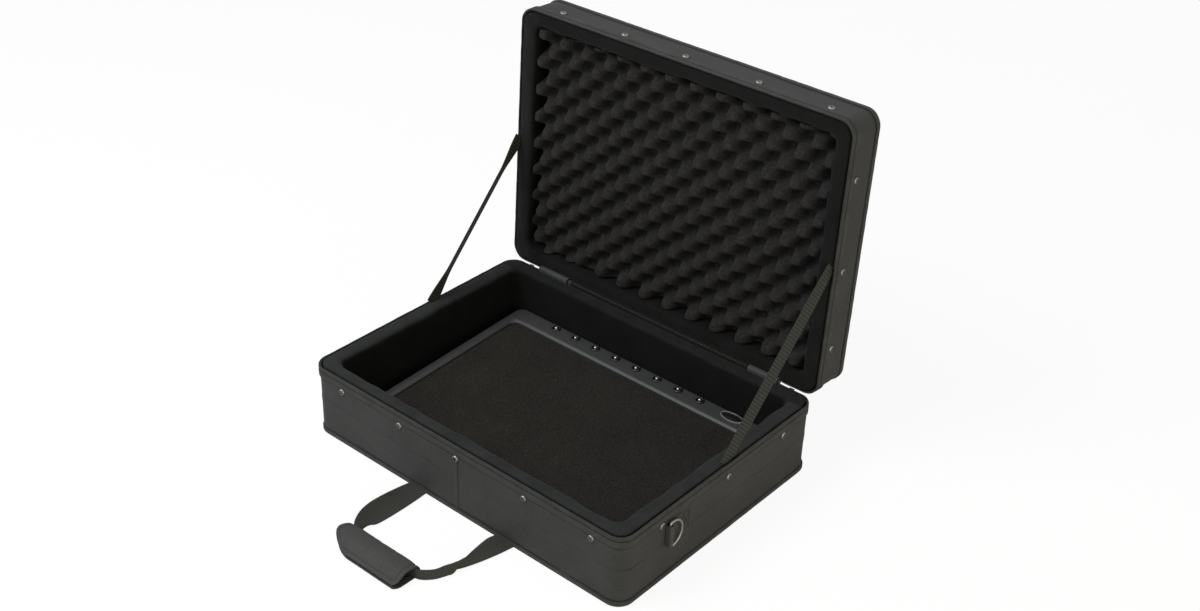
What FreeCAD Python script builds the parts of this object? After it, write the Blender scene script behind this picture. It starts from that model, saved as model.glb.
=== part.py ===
import FreeCAD, Part
import math
import os
import re
import Sketcher

Vector = FreeCAD.Vector
Constraint = Sketcher.Constraint

# Soft pedalboard case: a zip-closed tray with a hinged lid, shown open, with a pedal board inside.
# Origin: middle of the bottom panel, on the floor. X to the right, Y to the hinge, Z up.

# Driving sizes in millimetres and degrees
SIZES = [
    # Case shell
    ("case_width", 640, "outside width over the cloth"),
    ("case_depth", 456, "outside depth over the cloth, front to hinge"),
    ("base_height", 128, "floor to the split between base and lid"),
    ("lid_height", 73, "split to the lid's outer panel"),
    ("corner_radius", 26, "upright corners outside"),
    ("lid_open_angle", 92.9, "how far the stay straps let the lid open"),
    ("cloth", 1.4, "nylon cloth skin"),
    ("panel", 5, "rigid panels and wall frames"),
    ("side_wall", 28, "cloth, frame and padding at left and right"),
    ("end_wall", 25, "cloth, frame and padding at front and back"),
    ("liner_corner_radius", 16, "upright corners inside the padding"),
    ("rim_slope", 9, "padded rim, slope of its inner edge"),
    ("rim_edge", 3, "padded rim, slope of its outer edge"),
    ("rim_gap", 0.4, "padded rim below the split"),
    ("floor_pad", 12, "padding on the bottom panel"),
    ("seat_gap", 0.3, "clearance of pieces that rest or slide on each other"),
    ("same_place", 0.001, "places nearer than this are one place"),
    # Bound edge round the outer panels
    ("binding_height", 9, "edge binding, along the wall"),
    ("binding_proud", 1.6, "edge binding, out from the cloth"),
    ("binding_inset", 0.6, "edge binding behind the outer panel's face"),
    ("binding_chamfer", 1.1, "edge binding, softened outer edge"),
    # Zip and its hem
    ("hem_start", 5, "split to the hem"),
    ("hem_height", 8.5, "hem that covers the tape"),
    ("hem_proud", 0.6, "hem out from the cloth"),
    ("tape_gap", 0.2, "hem to the zip tape behind it"),
    ("tape_start", 1, "split to the zip tape's edge"),
    ("tape_thickness", 1, "zip tape"),
    ("coil_start", 0.3, "split to the zip coil"),
    ("coil_height", 2.6, "zip coil along the wall"),
    ("zip_margin", 64, "either end of the zip from the side of the case"),
    ("frame_gap", 0.3, "hem to the top of the wall frame"),
    # Screws that hold the cloth and the frame
    ("screw_drop", 26, "split to the row of screws"),
    ("screw_head_radius", 5, "pan head"),
    ("screw_head_height", 2.4, "pan head"),
    ("screw_shank_radius", 2, "shank"),
    ("screw_shank_length", 5.6, "shank below the head"),
    # Hinge
    ("filler_leaf", 9, "padded strip in the hinge crease, each leaf"),
    ("filler_thickness", 3.6, "padded strip in the hinge crease"),
    ("plain_strip_gap", 10, "gap left of the textured strip"),
    ("plain_left_margin", 2, "zip's end to the left plain strip"),
    ("plain_left_length", 63, "left plain strip"),
    ("plain_right_margin", 6, "zip's end to the right plain strip"),
    ("plain_right_length", 64.7, "right plain strip"),
    # Stay straps between base and lid
    ("strap_width", 25, "stay strap webbing"),
    ("strap_thickness", 1.6, "stay strap webbing"),
    ("strap_tuck", 3.5, "strap end below the rim"),
    ("strap_lid_reach", 223, "hinge to the strap on the lid"),
    ("strap_seat_right", 10, "strap on the base, right, back from the middle"),
    ("strap_seat_left", 25, "strap on the base, left, back from the middle"),
    # Convoluted foam in the lid
    ("foam_gap", 4, "foam to the padded wall"),
    ("foam_slab", 20, "foam's back to the bottom of its pits"),
    ("foam_pitch", 48.6, "peak to peak along a row"),
    ("foam_turn", -2.7, "turn of the peak rows on the lid"),
    ("foam_tip", 7, "split to the tips of the peaks"),
    ("foam_tip_radius", 6.5, "blunt tip of a peak"),
    ("foam_first_x", 25.8, "one peak, right of the middle"),
    ("foam_first_reach", 233, "the same peak, from the hinge"),
    # Carrying handles
    ("webbing", 2.4, "handle webbing, thickness"),
    ("webbing_width", 38, "handle webbing, width"),
    ("webbing_bevel", 0.8, "handle webbing, softened sewn end"),
    ("handle_pitch", 186, "between a handle's two arms"),
    ("handle_reach", 170, "handle out from the case"),
    ("handle_shift", 5, "base handle, right of the middle"),
    ("handle_lean_left", 5.5, "left arm's far end, pulled to the left"),
    ("handle_lean_right", 33, "right arm's far end, pulled to the left"),
    ("handle_corner", 30, "turn of the webbing, outer edge"),
    ("handle_height", 5.2, "floor to the middle of the webbing"),
    ("handle_gap", 0.3, "webbing's sewn end to the binding"),
    ("handle_drop", 4, "lid handle behind the front edge"),
    ("grip_length", 148, "padded grip"),
    ("grip_width", 52, "padded grip, front to back"),
    ("grip_height", 21, "padded grip"),
    ("grip_rounding", 8, "padded grip, outer edges"),
    ("grip_wall", 4, "padded grip, beside the webbing"),
    ("grip_notch_gap", 2, "grip's notch to the arm that leaves through it"),
    # D rings for a shoulder strap
    ("ring_reach", -130, "D ring's bar, from the middle towards the front"),
    ("ring_height", 81, "floor to the D ring's middle"),
    ("ring_standoff", 6, "D ring's bar, out from the cloth"),
    ("ring_wire", 3.5, "D ring wire"),
    ("ring_length", 44, "D ring, middle of wire, along the bar"),
    ("ring_depth", 27, "D ring, middle of wire, across the bar"),
    ("ring_bar_corner", 3, "D ring, bends beside the bar"),
    ("ring_bow_corner", 21.4, "D ring, bow"),
    ("tab_length", 32, "webbing tab along the bar"),
    ("tab_wall", 1.6, "webbing tab round the bar"),
    ("tab_gap", 0.3, "webbing tab to the bar"),
    # Zip sliders
    ("slider_park", 20, "zip's end to a parked slider"),
    ("slider_width", 9, "slider across"),
    ("slider_top", 2.4, "split to the slider's top"),
    ("slider_length", 10, "slider along the wall"),
    ("slider_plate", 2.5, "slider's outer plate"),
    ("bridge_width", 3, "slider's bridge"),
    ("bridge_depth", 2.8, "slider's bridge, out from the plate"),
    ("bridge_height", 4.4, "slider's bridge along the wall"),
    ("pull_bore", 1.15, "hole in the bridge"),
    ("pull_thickness", 1.3, "pull tab"),
    ("pull_width", 8, "pull tab"),
    ("pull_length", 26, "pull tab"),
    ("pull_window", 4.2, "opening under the pull tab's bar"),
    ("pull_arm", 1.9, "pull tab beside its opening"),
    # Pedal board
    ("deck_side_gap", 17, "pedal board to the padded wall at either side"),
    ("deck_front_gap", 4, "pedal board to the padded wall in front"),
    ("deck_back_gap", 2, "pedal board to the padded wall behind"),
    ("deck_front_height", 40.6, "floor to the deck at its front edge"),
    ("deck_back_height", 59, "floor to the deck at its back edge"),
    ("deck_corner", 14, "pedal board's upright corners"),
    ("deck_edge", 3, "pedal board's top edge"),
    ("deck_rail", 25, "frame at each side of the carpet"),
    ("deck_front_rail", 20, "frame in front of the carpet"),
    ("deck_ledge", 43, "socket ledge behind the carpet"),
    ("deck_skin", 4, "moulded wall of the frame"),
    ("deck_side_wall", 8, "moulded wall at either side"),
    ("carpet", 4, "depth of the carpet's recess"),
    ("carpet_pile", 2.8, "carpet"),
    ("carpet_bevel", 3, "bevel of the frame round the carpet"),
    ("carpet_gap", 0.4, "carpet to the frame"),
    ("bottom_plate", 2, "plate under the frame"),
    ("foot_radius", 9, "rubber foot"),
    ("foot_height", 1.8, "rubber foot"),
    ("foot_inset", 40, "rubber foot from the frame's edge"),
    # Power sockets
    ("socket_pitch", 44.5, "between power sockets"),
    ("socket_inset", 99, "first socket from the frame's left edge"),
    ("socket_reach", 18, "sockets in front of the frame's back edge"),
    ("socket_width", 14, "socket's square body"),
    ("socket_radius", 5.6, "socket's nose, in the frame"),
    ("socket_bore", 4, "socket's mouth"),
    ("socket_depth", 12, "socket's mouth, depth"),
    ("socket_floor", 2.5, "socket below its mouth"),
    ("pin_radius", 1.05, "socket's centre pin"),
    ("pin_below", 1, "pin below the deck"),
    ("circuit_width", 26, "circuit strip, front to back"),
    ("circuit_thickness", 1.6, "circuit strip"),
    ("led_radius", 1.5, "indicator lamp"),
    ("led_length", 7, "indicator lamp"),
    ("led_left", 44, "indicator lamp, left of the first socket"),
    ("bore_gap", 0.2, "pieces in their holes"),
]

document = FreeCAD.newDocument("PedalCase")
sheet = document.addObject("Spreadsheet::Sheet", "sizes")
NAMES = {name for name, number, meaning in SIZES}
for row, (name, number, meaning) in enumerate(SIZES, 1):
    sheet.set(f"A{row}", meaning)
    sheet.set(f"B{row}", str(number))
    sheet.setAlias(f"B{row}", name)
document.recompute()


def formula(text):
    """An expression for FreeCAD from a formula in the sheet's names."""
    return re.sub(r"[a-z_]+", lambda word: "sizes." + word[0] if word[0] in NAMES else word[0], text)


def value(text):
    """The present value of a formula in the sheet's names."""
    found = sheet.evalExpression(formula(text))
    return float(getattr(found, "Value", found))


# Sketches
def new_body(name):
    body = document.addObject("PartDesign::Body", name)
    body.Label = name
    return body


def new_sketch(body, name, role="XY_Plane", offset="0"):
    """A sketch on one of the body's own planes, moved along that plane's normal."""
    sketch = body.newObject("Sketcher::SketchObject", f"{body.Name}_{name}")
    plane = [item for item in body.Origin.OriginFeatures if item.Role == role][0]
    sketch.AttachmentSupport = [(plane, "")]
    sketch.MapMode = "FlatFace"
    sketch.setExpression("AttachmentOffset.Base.z", formula(offset))
    return sketch


def bind(sketch, constraint, text):
    index = sketch.addConstraint(constraint)
    sketch.setExpression(f"Constraints[{index}]", formula(text))


def add_polygon(sketch, corners):
    """A closed outline through corners, each an (across, up) pair of formulas."""
    places = [(value(across), value(up)) for across, up in corners]
    count = len(places)
    lines = []
    for index, place in enumerate(places):
        following = places[(index + 1) % count]
        lines.append(sketch.addGeometry(Part.LineSegment(Vector(*place), Vector(*following)), False))
    for index, line in enumerate(lines):
        sketch.addConstraint(Constraint("Coincident", line, 2, lines[(index + 1) % count], 1))
    for line, place, (across, up) in zip(lines, places, corners):
        bind(sketch, Constraint("DistanceX", -1, 1, line, 1, place[0]), across)
        bind(sketch, Constraint("DistanceY", -1, 1, line, 1, place[1]), up)


def add_rounded(sketch, left, low, across, up, left_radius, right_radius):
    """A rectangle with rounded corners; its left and its right pair may differ."""
    x, y, wide, tall = value(left), value(low), value(across), value(up)
    near, far = value(left_radius), value(right_radius)
    ends = [
        ((x + near, y), (x + wide - far, y)),
        ((x + wide, y + far), (x + wide, y + tall - far)),
        ((x + wide - far, y + tall), (x + near, y + tall)),
        ((x, y + tall - near), (x, y + near)),
    ]
    lines = [sketch.addGeometry(Part.LineSegment(Vector(*a), Vector(*b)), False) for a, b in ends]
    centres = [
        (x + wide - far, y + far, far),
        (x + wide - far, y + tall - far, far),
        (x + near, y + tall - near, near),
        (x + near, y + near, near),
    ]
    arcs = []
    for turn, (centre_x, centre_y, radius) in enumerate(centres):
        circle = Part.Circle(Vector(centre_x, centre_y), Vector(0, 0, 1), radius)
        start = (turn - 1) * math.pi / 2
        arcs.append(sketch.addGeometry(Part.ArcOfCircle(circle, start, start + math.pi / 2), False))
    for index in range(4):
        sketch.addConstraint(Constraint("Tangent", lines[index], 2, arcs[index], 1))
        sketch.addConstraint(Constraint("Tangent", arcs[index], 2, lines[(index + 1) % 4], 1))
    for index in (0, 2):
        sketch.addConstraint(Constraint("Horizontal", lines[index]))
        sketch.addConstraint(Constraint("Vertical", lines[index + 1]))
        sketch.addConstraint(Constraint("Equal", arcs[index], arcs[index + 1]))
    bind(sketch, Constraint("DistanceX", -1, 1, lines[3], 1, x), left)
    bind(sketch, Constraint("DistanceY", -1, 1, lines[0], 1, y), low)
    bind(sketch, Constraint("DistanceX", lines[3], 1, lines[1], 1, wide), across)
    bind(sketch, Constraint("DistanceY", lines[0], 1, lines[2], 1, tall), up)
    bind(sketch, Constraint("Radius", arcs[0], far), right_radius)
    bind(sketch, Constraint("Radius", arcs[2], near), left_radius)


def add_centred(sketch, across, up, radius):
    """A rounded rectangle about the sketch's origin."""
    add_rounded(sketch, f"-({across}) / 2", f"-({up}) / 2", across, up, radius, radius)


def add_circle(sketch, across, up, radius):
    centre = Vector(value(across), value(up))
    circle = sketch.addGeometry(Part.Circle(centre, Vector(0, 0, 1), value(radius)), False)
    bind(sketch, Constraint("DistanceX", -1, 1, circle, 3, centre.x), across)
    bind(sketch, Constraint("DistanceY", -1, 1, circle, 3, centre.y), up)
    bind(sketch, Constraint("Radius", circle, value(radius)), radius)


# Features
def pad(body, sketch, length, name="pad", both_ways=False):
    feature = body.newObject("PartDesign::Pad", f"{body.Name}_{name}")
    feature.Profile = sketch
    feature.Midplane = both_ways
    feature.setExpression("Length", formula(length))
    document.recompute()


def pocket(body, sketch, length, name="pocket", both_ways=False, backwards=False):
    """A cut that must take something away."""
    before = body.Shape.Volume
    feature = body.newObject("PartDesign::Pocket", f"{body.Name}_{name}")
    feature.Profile = sketch
    feature.Midplane = both_ways
    feature.Reversed = backwards
    feature.setExpression("Length", formula(length))
    document.recompute()
    if not body.Shape.Volume < before:
        raise RuntimeError(f"{feature.Name} cuts nothing")


def dress(body, kind, size, name, wanted):
    """A fillet or a chamfer on the edges that the wanted function picks."""
    tip = body.Tip
    edges = [f"Edge{number}" for number, edge in enumerate(body.Shape.Edges, 1) if wanted(edge)]
    feature = body.newObject(f"PartDesign::{kind}", f"{body.Name}_{name}")
    feature.Base = (tip, edges)
    feature.setExpression("Radius" if kind == "Fillet" else "Size", formula(size))
    document.recompute()


def same(one, other):
    return abs(one - other) < value("same_place")


def level_at(edge, height):
    """Whether an edge lies at one height."""
    box = edge.BoundBox
    return same(box.ZMin, height) and same(box.ZMax, height)


def beyond(edge, half_width, half_depth):
    """Whether an edge reaches a plan rectangle's sides or passes them."""
    box = edge.BoundBox
    reach = max(-box.XMin, box.XMax) + value("same_place")
    depth = max(-box.YMin, box.YMax) + value("same_place")
    return reach > half_width or depth > half_depth


# The two halves of the shell
# Each half is drawn with its split plane at local Z 0 and its outer panel up.
def place_half(piece, half):
    """The base is turned over onto the floor, the lid is swung open about the hinge line."""
    if half == "base":
        piece.Placement = FreeCAD.Placement(Vector(), FreeCAD.Rotation(Vector(1, 0, 0), 180))
        piece.setExpression("Placement.Base.z", formula("base_height"))
        return
    piece.Placement = FreeCAD.Placement(Vector(), FreeCAD.Rotation(Vector(-1, 0, 0), 1))
    piece.setExpression("Placement.Rotation.Angle", formula("lid_open_angle"))
    piece.setExpression("Placement.Base.y", formula("case_depth / 2 * (1 - cos(lid_open_angle))"))
    lift = "base_height + case_depth / 2 * sin(lid_open_angle)"
    piece.setExpression("Placement.Base.z", formula(lift))


# Where the zip ends at the back, from the middle
ZIP_END = "(case_width / 2 - zip_margin)"


def inset_outline(sketch, inset):
    """The case's plan outline moved inwards."""
    add_centred(sketch, f"case_width - 2 * ({inset})", f"case_depth - 2 * ({inset})",
                f"corner_radius - ({inset})")


def panel_layer(name, inset, start, height):
    """One layer of the outer panel."""
    body = new_body(name)
    outline = new_sketch(body, "outline", offset=start)
    inset_outline(outline, inset)
    pad(body, outline, height)
    return body


def wall_ring(name, outer, inner, start, height):
    """A band right round the case between two insets."""
    body = new_body(name)
    outline = new_sketch(body, "outline", offset=start)
    inset_outline(outline, outer)
    inset_outline(outline, inner)
    pad(body, outline, height)
    return body


def zip_ring(name, outer, inner, start, height, back):
    """A band that stops at either side of the cloth hinge; back is the hinge's side in local Y."""
    body = wall_ring(name, outer, inner, start, height)
    gap = new_sketch(body, "hinge_gap")
    low = f"{back} * case_depth / 2 - side_wall"
    add_rounded(gap, f"-{ZIP_END}", low, f"2 * {ZIP_END}", "2 * side_wall",
                "corner_radius", "corner_radius")
    pocket(body, gap, "2 * lid_height", "gap", both_ways=True)
    return body


def edge_binding(name, height):
    """The bound edge, softened where it meets the outer panel."""
    start = f"({height} - binding_inset - binding_height)"
    body = wall_ring(name, "-binding_proud", "0", start, "binding_height")
    face = value(f"{start} + binding_height")
    half_width = value("(case_width + binding_proud) / 2")
    half_depth = value("(case_depth + binding_proud) / 2")
    dress(body, "Chamfer", "binding_chamfer", "soft_edge", lambda edge: (
        level_at(edge, face) and beyond(edge, half_width, half_depth)))
    return body


def padded_liner(name, height):
    """The padded wall inside the frame, with its rim sloped inwards."""
    frame = "(cloth + panel)"
    body = new_body(name)
    outline = new_sketch(body, "outline", offset="rim_gap")
    inset_outline(outline, frame)
    add_centred(outline, "case_width - 2 * side_wall", "case_depth - 2 * end_wall", "liner_corner_radius")
    pad(body, outline, f"{height} - {frame} - rim_gap")
    rim = value("rim_gap")
    half_width = value("(case_width - side_wall) / 2")
    half_depth = value("(case_depth - end_wall) / 2")
    dress(body, "Chamfer", "rim_slope", "inner_slope", lambda edge: (
        level_at(edge, rim) and not beyond(edge, half_width, half_depth)))
    dress(body, "Chamfer", "rim_edge", "outer_slope", lambda edge: (
        level_at(edge, rim) and beyond(edge, half_width, half_depth)))
    return body


SCREW_X_SHARES = (-0.394, -0.192, -0.003, 0.212, 0.412)
BASE_SCREW_Y_SHARES = (-0.311, 0.025, 0.324)
LID_SCREW_Y_SHARES = (-0.294, 0.034, 0.327)


def screw_pattern():
    """One screw with few facets, its seat at the origin and its head along Z."""
    head = document.addObject("Part::Prism", "screw_head")
    head.Polygon = 10
    head.setExpression("Circumradius", formula("screw_head_radius"))
    head.setExpression("Height", formula("screw_head_height"))
    shank = document.addObject("Part::Prism", "screw_shank")
    shank.Polygon = 6
    shank.setExpression("Circumradius", formula("screw_shank_radius"))
    shank.setExpression("Height", formula("screw_shank_length"))
    shank.setExpression("Placement.Base.z", formula("-screw_shank_length"))
    screw = document.addObject("Part::Fuse", "screw")
    screw.Base, screw.Tool = head, shank
    return screw


def screw_row(half, screw, side_shares, back):
    """Screws round one half, seated on the cloth, as one group."""
    front, side = Vector(0, 1, 0), Vector(1, 0, 0)
    places = [(f"case_width * {share}", f"{sign} * case_depth / 2", front * sign)
              for share in SCREW_X_SHARES for sign in (-1, 1)]
    places += [(f"{sign} * case_width / 2", f"case_depth * {share * back}", side * sign)
               for share in side_shares for sign in (-1, 1)]
    copies = []
    for number, (across, along, outwards) in enumerate(places, 1):
        copy = document.addObject("App::Link", f"{half}_screw_{number}")
        copy.LinkedObject = screw
        copy.Placement = FreeCAD.Placement(Vector(), FreeCAD.Rotation(Vector(0, 0, 1), outwards))
        copy.setExpression("Placement.Base.x", formula(across))
        copy.setExpression("Placement.Base.y", formula(along))
        copy.setExpression("Placement.Base.z", formula("screw_drop"))
        copies.append(copy)
    return group_of(f"{half}_screws", copies)


def group_of(name, members):
    """Like pieces in one node, each a solid of its own."""
    group = document.addObject("Part::Compound", name)
    group.Label = name
    group.Links = members
    return group


PANEL_NAMES = {"base": ("base_floor_board", "base_bottom_cloth"), "lid": ("lid_top_board", "lid_top_cloth")}


def half_shell(half, height, back, screw, side_shares):
    """Panels, wall, cloth, padding, zip and screws of the base or the lid."""
    frame = "(cloth + panel)"
    cloth_start = "(hem_start + hem_height)"
    frame_start = f"({cloth_start} + frame_gap)"
    tape = "(cloth + tape_gap)"
    board, skin = PANEL_NAMES[half]
    pieces = [
        panel_layer(board, "cloth", f"{height} - {frame}", "panel"),
        panel_layer(skin, "0", f"{height} - cloth", "cloth"),
        wall_ring(f"{half}_wall_frame", "cloth", frame, frame_start, f"{height} - {frame} - {frame_start}"),
        wall_ring(f"{half}_side_cloth", "0", "cloth", cloth_start, f"{height} - cloth - {cloth_start}"),
        edge_binding(f"{half}_edge_binding", height),
        zip_ring(f"{half}_hem", "-hem_proud", "cloth", "hem_start", "hem_height", back),
        zip_ring(f"{half}_zip_tape", tape, f"{tape} + tape_thickness", "tape_start",
                 f"{cloth_start} - tape_start", back),
        zip_ring(f"{half}_zip_coil", "0", tape, "coil_start", "coil_height", back),
        padded_liner(f"{half}_liner", height),
        screw_row(half, screw, side_shares, back),
    ]
    for piece in pieces:
        place_half(piece, half)
    return pieces


# Padding on the bottom panel
def floor_padding():
    body = new_body("base_floor_pad")
    outline = new_sketch(body, "outline", offset="cloth + panel")
    gap = "2 * seat_gap"
    add_centred(outline, f"case_width - 2 * side_wall - {gap}", f"case_depth - 2 * end_wall - {gap}",
                "liner_corner_radius")
    pad(body, outline, "floor_pad")
    return body


# Convoluted foam glued inside the lid
# Its lattice has steps of half a pitch: peaks and pits alternate, with a saddle inside each cell.
def foam_spot(column, row, height):
    """A point on the turned lattice."""
    step, turn = value("foam_pitch / 2"), math.radians(value("foam_turn"))
    x = value("foam_first_x") + step * (column * math.cos(turn) + row * math.sin(turn))
    y = value("case_depth / 2 - foam_first_reach") + step * (row * math.cos(turn) - column * math.sin(turn))
    return Vector(x, y, height)


def flat_face(corners):
    return Part.Face(Part.makePolygon(corners + corners[:1]))


def is_peak(corner):
    return sum(corner) % 2 == 0


def shoulder(peak, pit, tip):
    """Where a peak's blunt tip ends, on the way to a pit."""
    share = value("foam_tip_radius / (foam_pitch / 2)")
    return foam_spot(peak[0] + (pit[0] - peak[0]) * share, peak[1] + (pit[1] - peak[1]) * share, tip)


def foam_cell(column, row, tip, saddle, pit):
    """The faces of one cell, which has peaks at two opposite corners and pits at the others."""
    corners = [(column, row), (column + 1, row), (column + 1, row + 1), (column, row + 1)]
    ring, faces = [], []
    for index, corner in enumerate(corners):
        if not is_peak(corner):
            ring.append(foam_spot(*corner, pit))
            continue
        before, after = corners[index - 1], corners[(index + 1) % len(corners)]
        shoulders = [shoulder(corner, before, tip), shoulder(corner, after, tip)]
        faces.append(flat_face([foam_spot(*corner, tip), shoulders[1], shoulders[0]]))
        ring += shoulders
    centre = foam_spot(column + 1 / 2, row + 1 / 2, saddle)
    for index, place in enumerate(ring):
        faces.append(flat_face([centre, place, ring[(index + 1) % len(ring)]]))
    return faces


def foam_side(corners, tip, pit, back):
    """An upright side of the sheet, below a row of corners."""
    edge = []
    for index, corner in enumerate(corners):
        if not is_peak(corner):
            edge.append(foam_spot(*corner, pit))
            continue
        if index > 0:
            edge.append(shoulder(corner, corners[index - 1], tip))
        edge.append(foam_spot(*corner, tip))
        if index < len(corners) - 1:
            edge.append(shoulder(corner, corners[index + 1], tip))
    return flat_face(edge + [foam_spot(*corners[-1], back), foam_spot(*corners[0], back)])


def convoluted_foam():
    """A peaked sheet cut to the lid's inside, so that its edges run through the peaks."""
    back = value("lid_height - cloth - panel")
    tip = value("foam_tip")
    pit = back - value("foam_slab")
    saddle = (tip + pit) / 2
    columns = math.ceil(value("case_width / foam_pitch")) + 1
    rows = math.ceil(value("case_depth / foam_pitch")) + 2
    faces = []
    for column in range(-columns, columns):
        for row in range(-rows, rows):
            faces += foam_cell(column, row, tip, saddle, pit)
    for column in (-columns, columns):
        faces.append(foam_side([(column, row) for row in range(-rows, rows + 1)], tip, pit, back))
    for row in (-rows, rows):
        faces.append(foam_side([(column, row) for column in range(-columns, columns + 1)], tip, pit, back))
    ends = [(-columns, -rows), (columns, -rows), (columns, rows), (-columns, rows)]
    faces.append(flat_face([foam_spot(*end, back) for end in ends]))
    skin = Part.makeCompound(faces)
    skin.sewShape()
    sheet_solid = Part.Solid(skin.Shells[0])
    if sheet_solid.Volume < 0:
        sheet_solid.reverse()
    half_width = value("case_width / 2 - side_wall - foam_gap")
    half_depth = value("case_depth / 2 - end_wall - foam_gap")
    cutter = Part.makeBox(2 * half_width, 2 * half_depth, back, Vector(-half_width, -half_depth, 0))
    uprights = [edge for edge in cutter.Edges if same(edge.BoundBox.ZLength, back)]
    cutter = cutter.makeChamfer(value("liner_corner_radius / 2"), uprights)
    foam = document.addObject("Part::Feature", "lid_foam")
    foam.Label = "lid_foam"
    foam.Shape = cutter.common(sheet_solid).removeSplitter().Solids[0]
    place_half(foam, "lid")
    return foam


# Cloth hinge and the padded strips in its crease
def crease_strip(name, inset, thickness, leaf, start, length):
    """A strip that follows the base's back wall up to the split and then the lid's."""
    sine, cosine = "sin(lid_open_angle)", "cos(lid_open_angle)"
    half = "tan(lid_open_angle / 2)"
    hinge_y, hinge_z = "case_depth / 2", "base_height"
    outer, inner = f"({inset})", f"({inset} + {thickness})"

    def on_lid(depth):
        return (f"{hinge_y} + {leaf} * {sine} - {depth} * {cosine}",
                f"{hinge_z} + {leaf} * {cosine} + {depth} * {sine}")

    body = new_body(name)
    profile = new_sketch(body, "profile", "YZ_Plane", start)
    add_polygon(profile, [
        (f"{hinge_y} - {outer}", f"{hinge_z} - {leaf}"),
        (f"{hinge_y} - {outer}", f"{hinge_z} + {outer} * {half}"),
        on_lid(outer),
        on_lid(inner),
        (f"{hinge_y} - {inner}", f"{hinge_z} + {inner} * {half}"),
        (f"{hinge_y} - {inner}", f"{hinge_z} - {leaf}"),
    ])
    pad(body, profile, length)
    return body


def hinge_pieces():
    inset = "(cloth + tape_gap)"
    plain_left = f"(plain_left_margin - {ZIP_END})"
    plain_right = f"({ZIP_END} - plain_right_margin - plain_right_length)"
    left, right = f"({plain_left} + plain_left_length + plain_strip_gap)", f"({plain_right} - seat_gap)"
    strips = [("hinge_crease_strip", left, f"{right} - {left}"),
              ("hinge_end_strip_left", plain_left, "plain_left_length"),
              ("hinge_end_strip_right", plain_right, "plain_right_length")]
    pieces = [crease_strip("hinge_cloth", "0", "cloth", "(hem_start + hem_height)",
                           f"seat_gap - {ZIP_END}", f"2 * ({ZIP_END} - seat_gap)")]
    for name, start, length in strips:
        pieces.append(crease_strip(name, inset, "filler_thickness", "filler_leaf", start, length))
    return pieces


# Stay straps that hold the lid open
def stay_strap(name, side, seat):
    """A flat strap from the slot behind the base's rim to the slot behind the lid's."""
    strap = document.addObject("Part::Box", name)
    strap.Label = name
    lid_y = "(case_depth / 2 - strap_lid_reach * cos(lid_open_angle))"
    lid_z = "(base_height + strap_lid_reach * sin(lid_open_angle))"
    low_z = "(base_height - strap_tuck)"
    rise, run = f"({lid_z} - {low_z})", f"({lid_y} - {seat})"
    lean = f"atan2({run}; {rise})"
    inner_face = "(case_width / 2 - cloth - panel + seat_gap)"
    left = inner_face if side > 0 else f"-{inner_face} - strap_thickness"
    strap.setExpression("Length", formula("strap_thickness"))
    strap.setExpression("Width", formula("strap_width"))
    strap.setExpression("Height", formula(f"sqrt({rise}^2 + {run}^2)"))
    strap.Placement = FreeCAD.Placement(Vector(), FreeCAD.Rotation(Vector(-1, 0, 0), 1))
    strap.setExpression("Placement.Rotation.Angle", formula(lean))
    strap.setExpression("Placement.Base.x", formula(left))
    strap.setExpression("Placement.Base.y", formula(f"{seat} - strap_width / 2 * cos({lean})"))
    strap.setExpression("Placement.Base.z", formula(f"{low_z} + strap_width / 2 * sin({lean})"))
    return strap


# Carrying handles
def webbing_loop(name, shift, lean_left, lean_right):
    """A flat loop of webbing in the local XY plane, sewn at Y 0 and reaching to -Y."""
    body = new_body(name)
    half_arm = "webbing_width / 2"
    left, right = f"{shift} - handle_pitch / 2", f"{shift} + handle_pitch / 2"
    loop = new_sketch(body, "loop", offset="-webbing / 2")
    far, near = "-handle_reach", "webbing_width - handle_reach"
    add_polygon(loop, [
        (f"{left} - {half_arm}", "0"),
        (f"{left} + {half_arm}", "0"),
        (f"{left} + {half_arm} - {lean_left}", near),
        (f"{right} - {half_arm} - {lean_right}", near),
        (f"{right} - {half_arm}", "0"),
        (f"{right} + {half_arm}", "0"),
        (f"{right} + {half_arm} - {lean_right}", far),
        (f"{left} - {half_arm} - {lean_left}", far),
    ])
    pad(body, loop, "webbing")
    reach = value("handle_reach")
    dress(body, "Fillet", "handle_corner", "corners", lambda edge: (
        edge.BoundBox.ZLength > value("webbing / 2") and same(edge.BoundBox.YMax, -reach)))
    dress(body, "Chamfer", "webbing_bevel", "sewn_ends", lambda edge: (
        same(edge.BoundBox.YMin, 0) and edge.BoundBox.XLength > value("webbing")))
    return body


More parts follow.
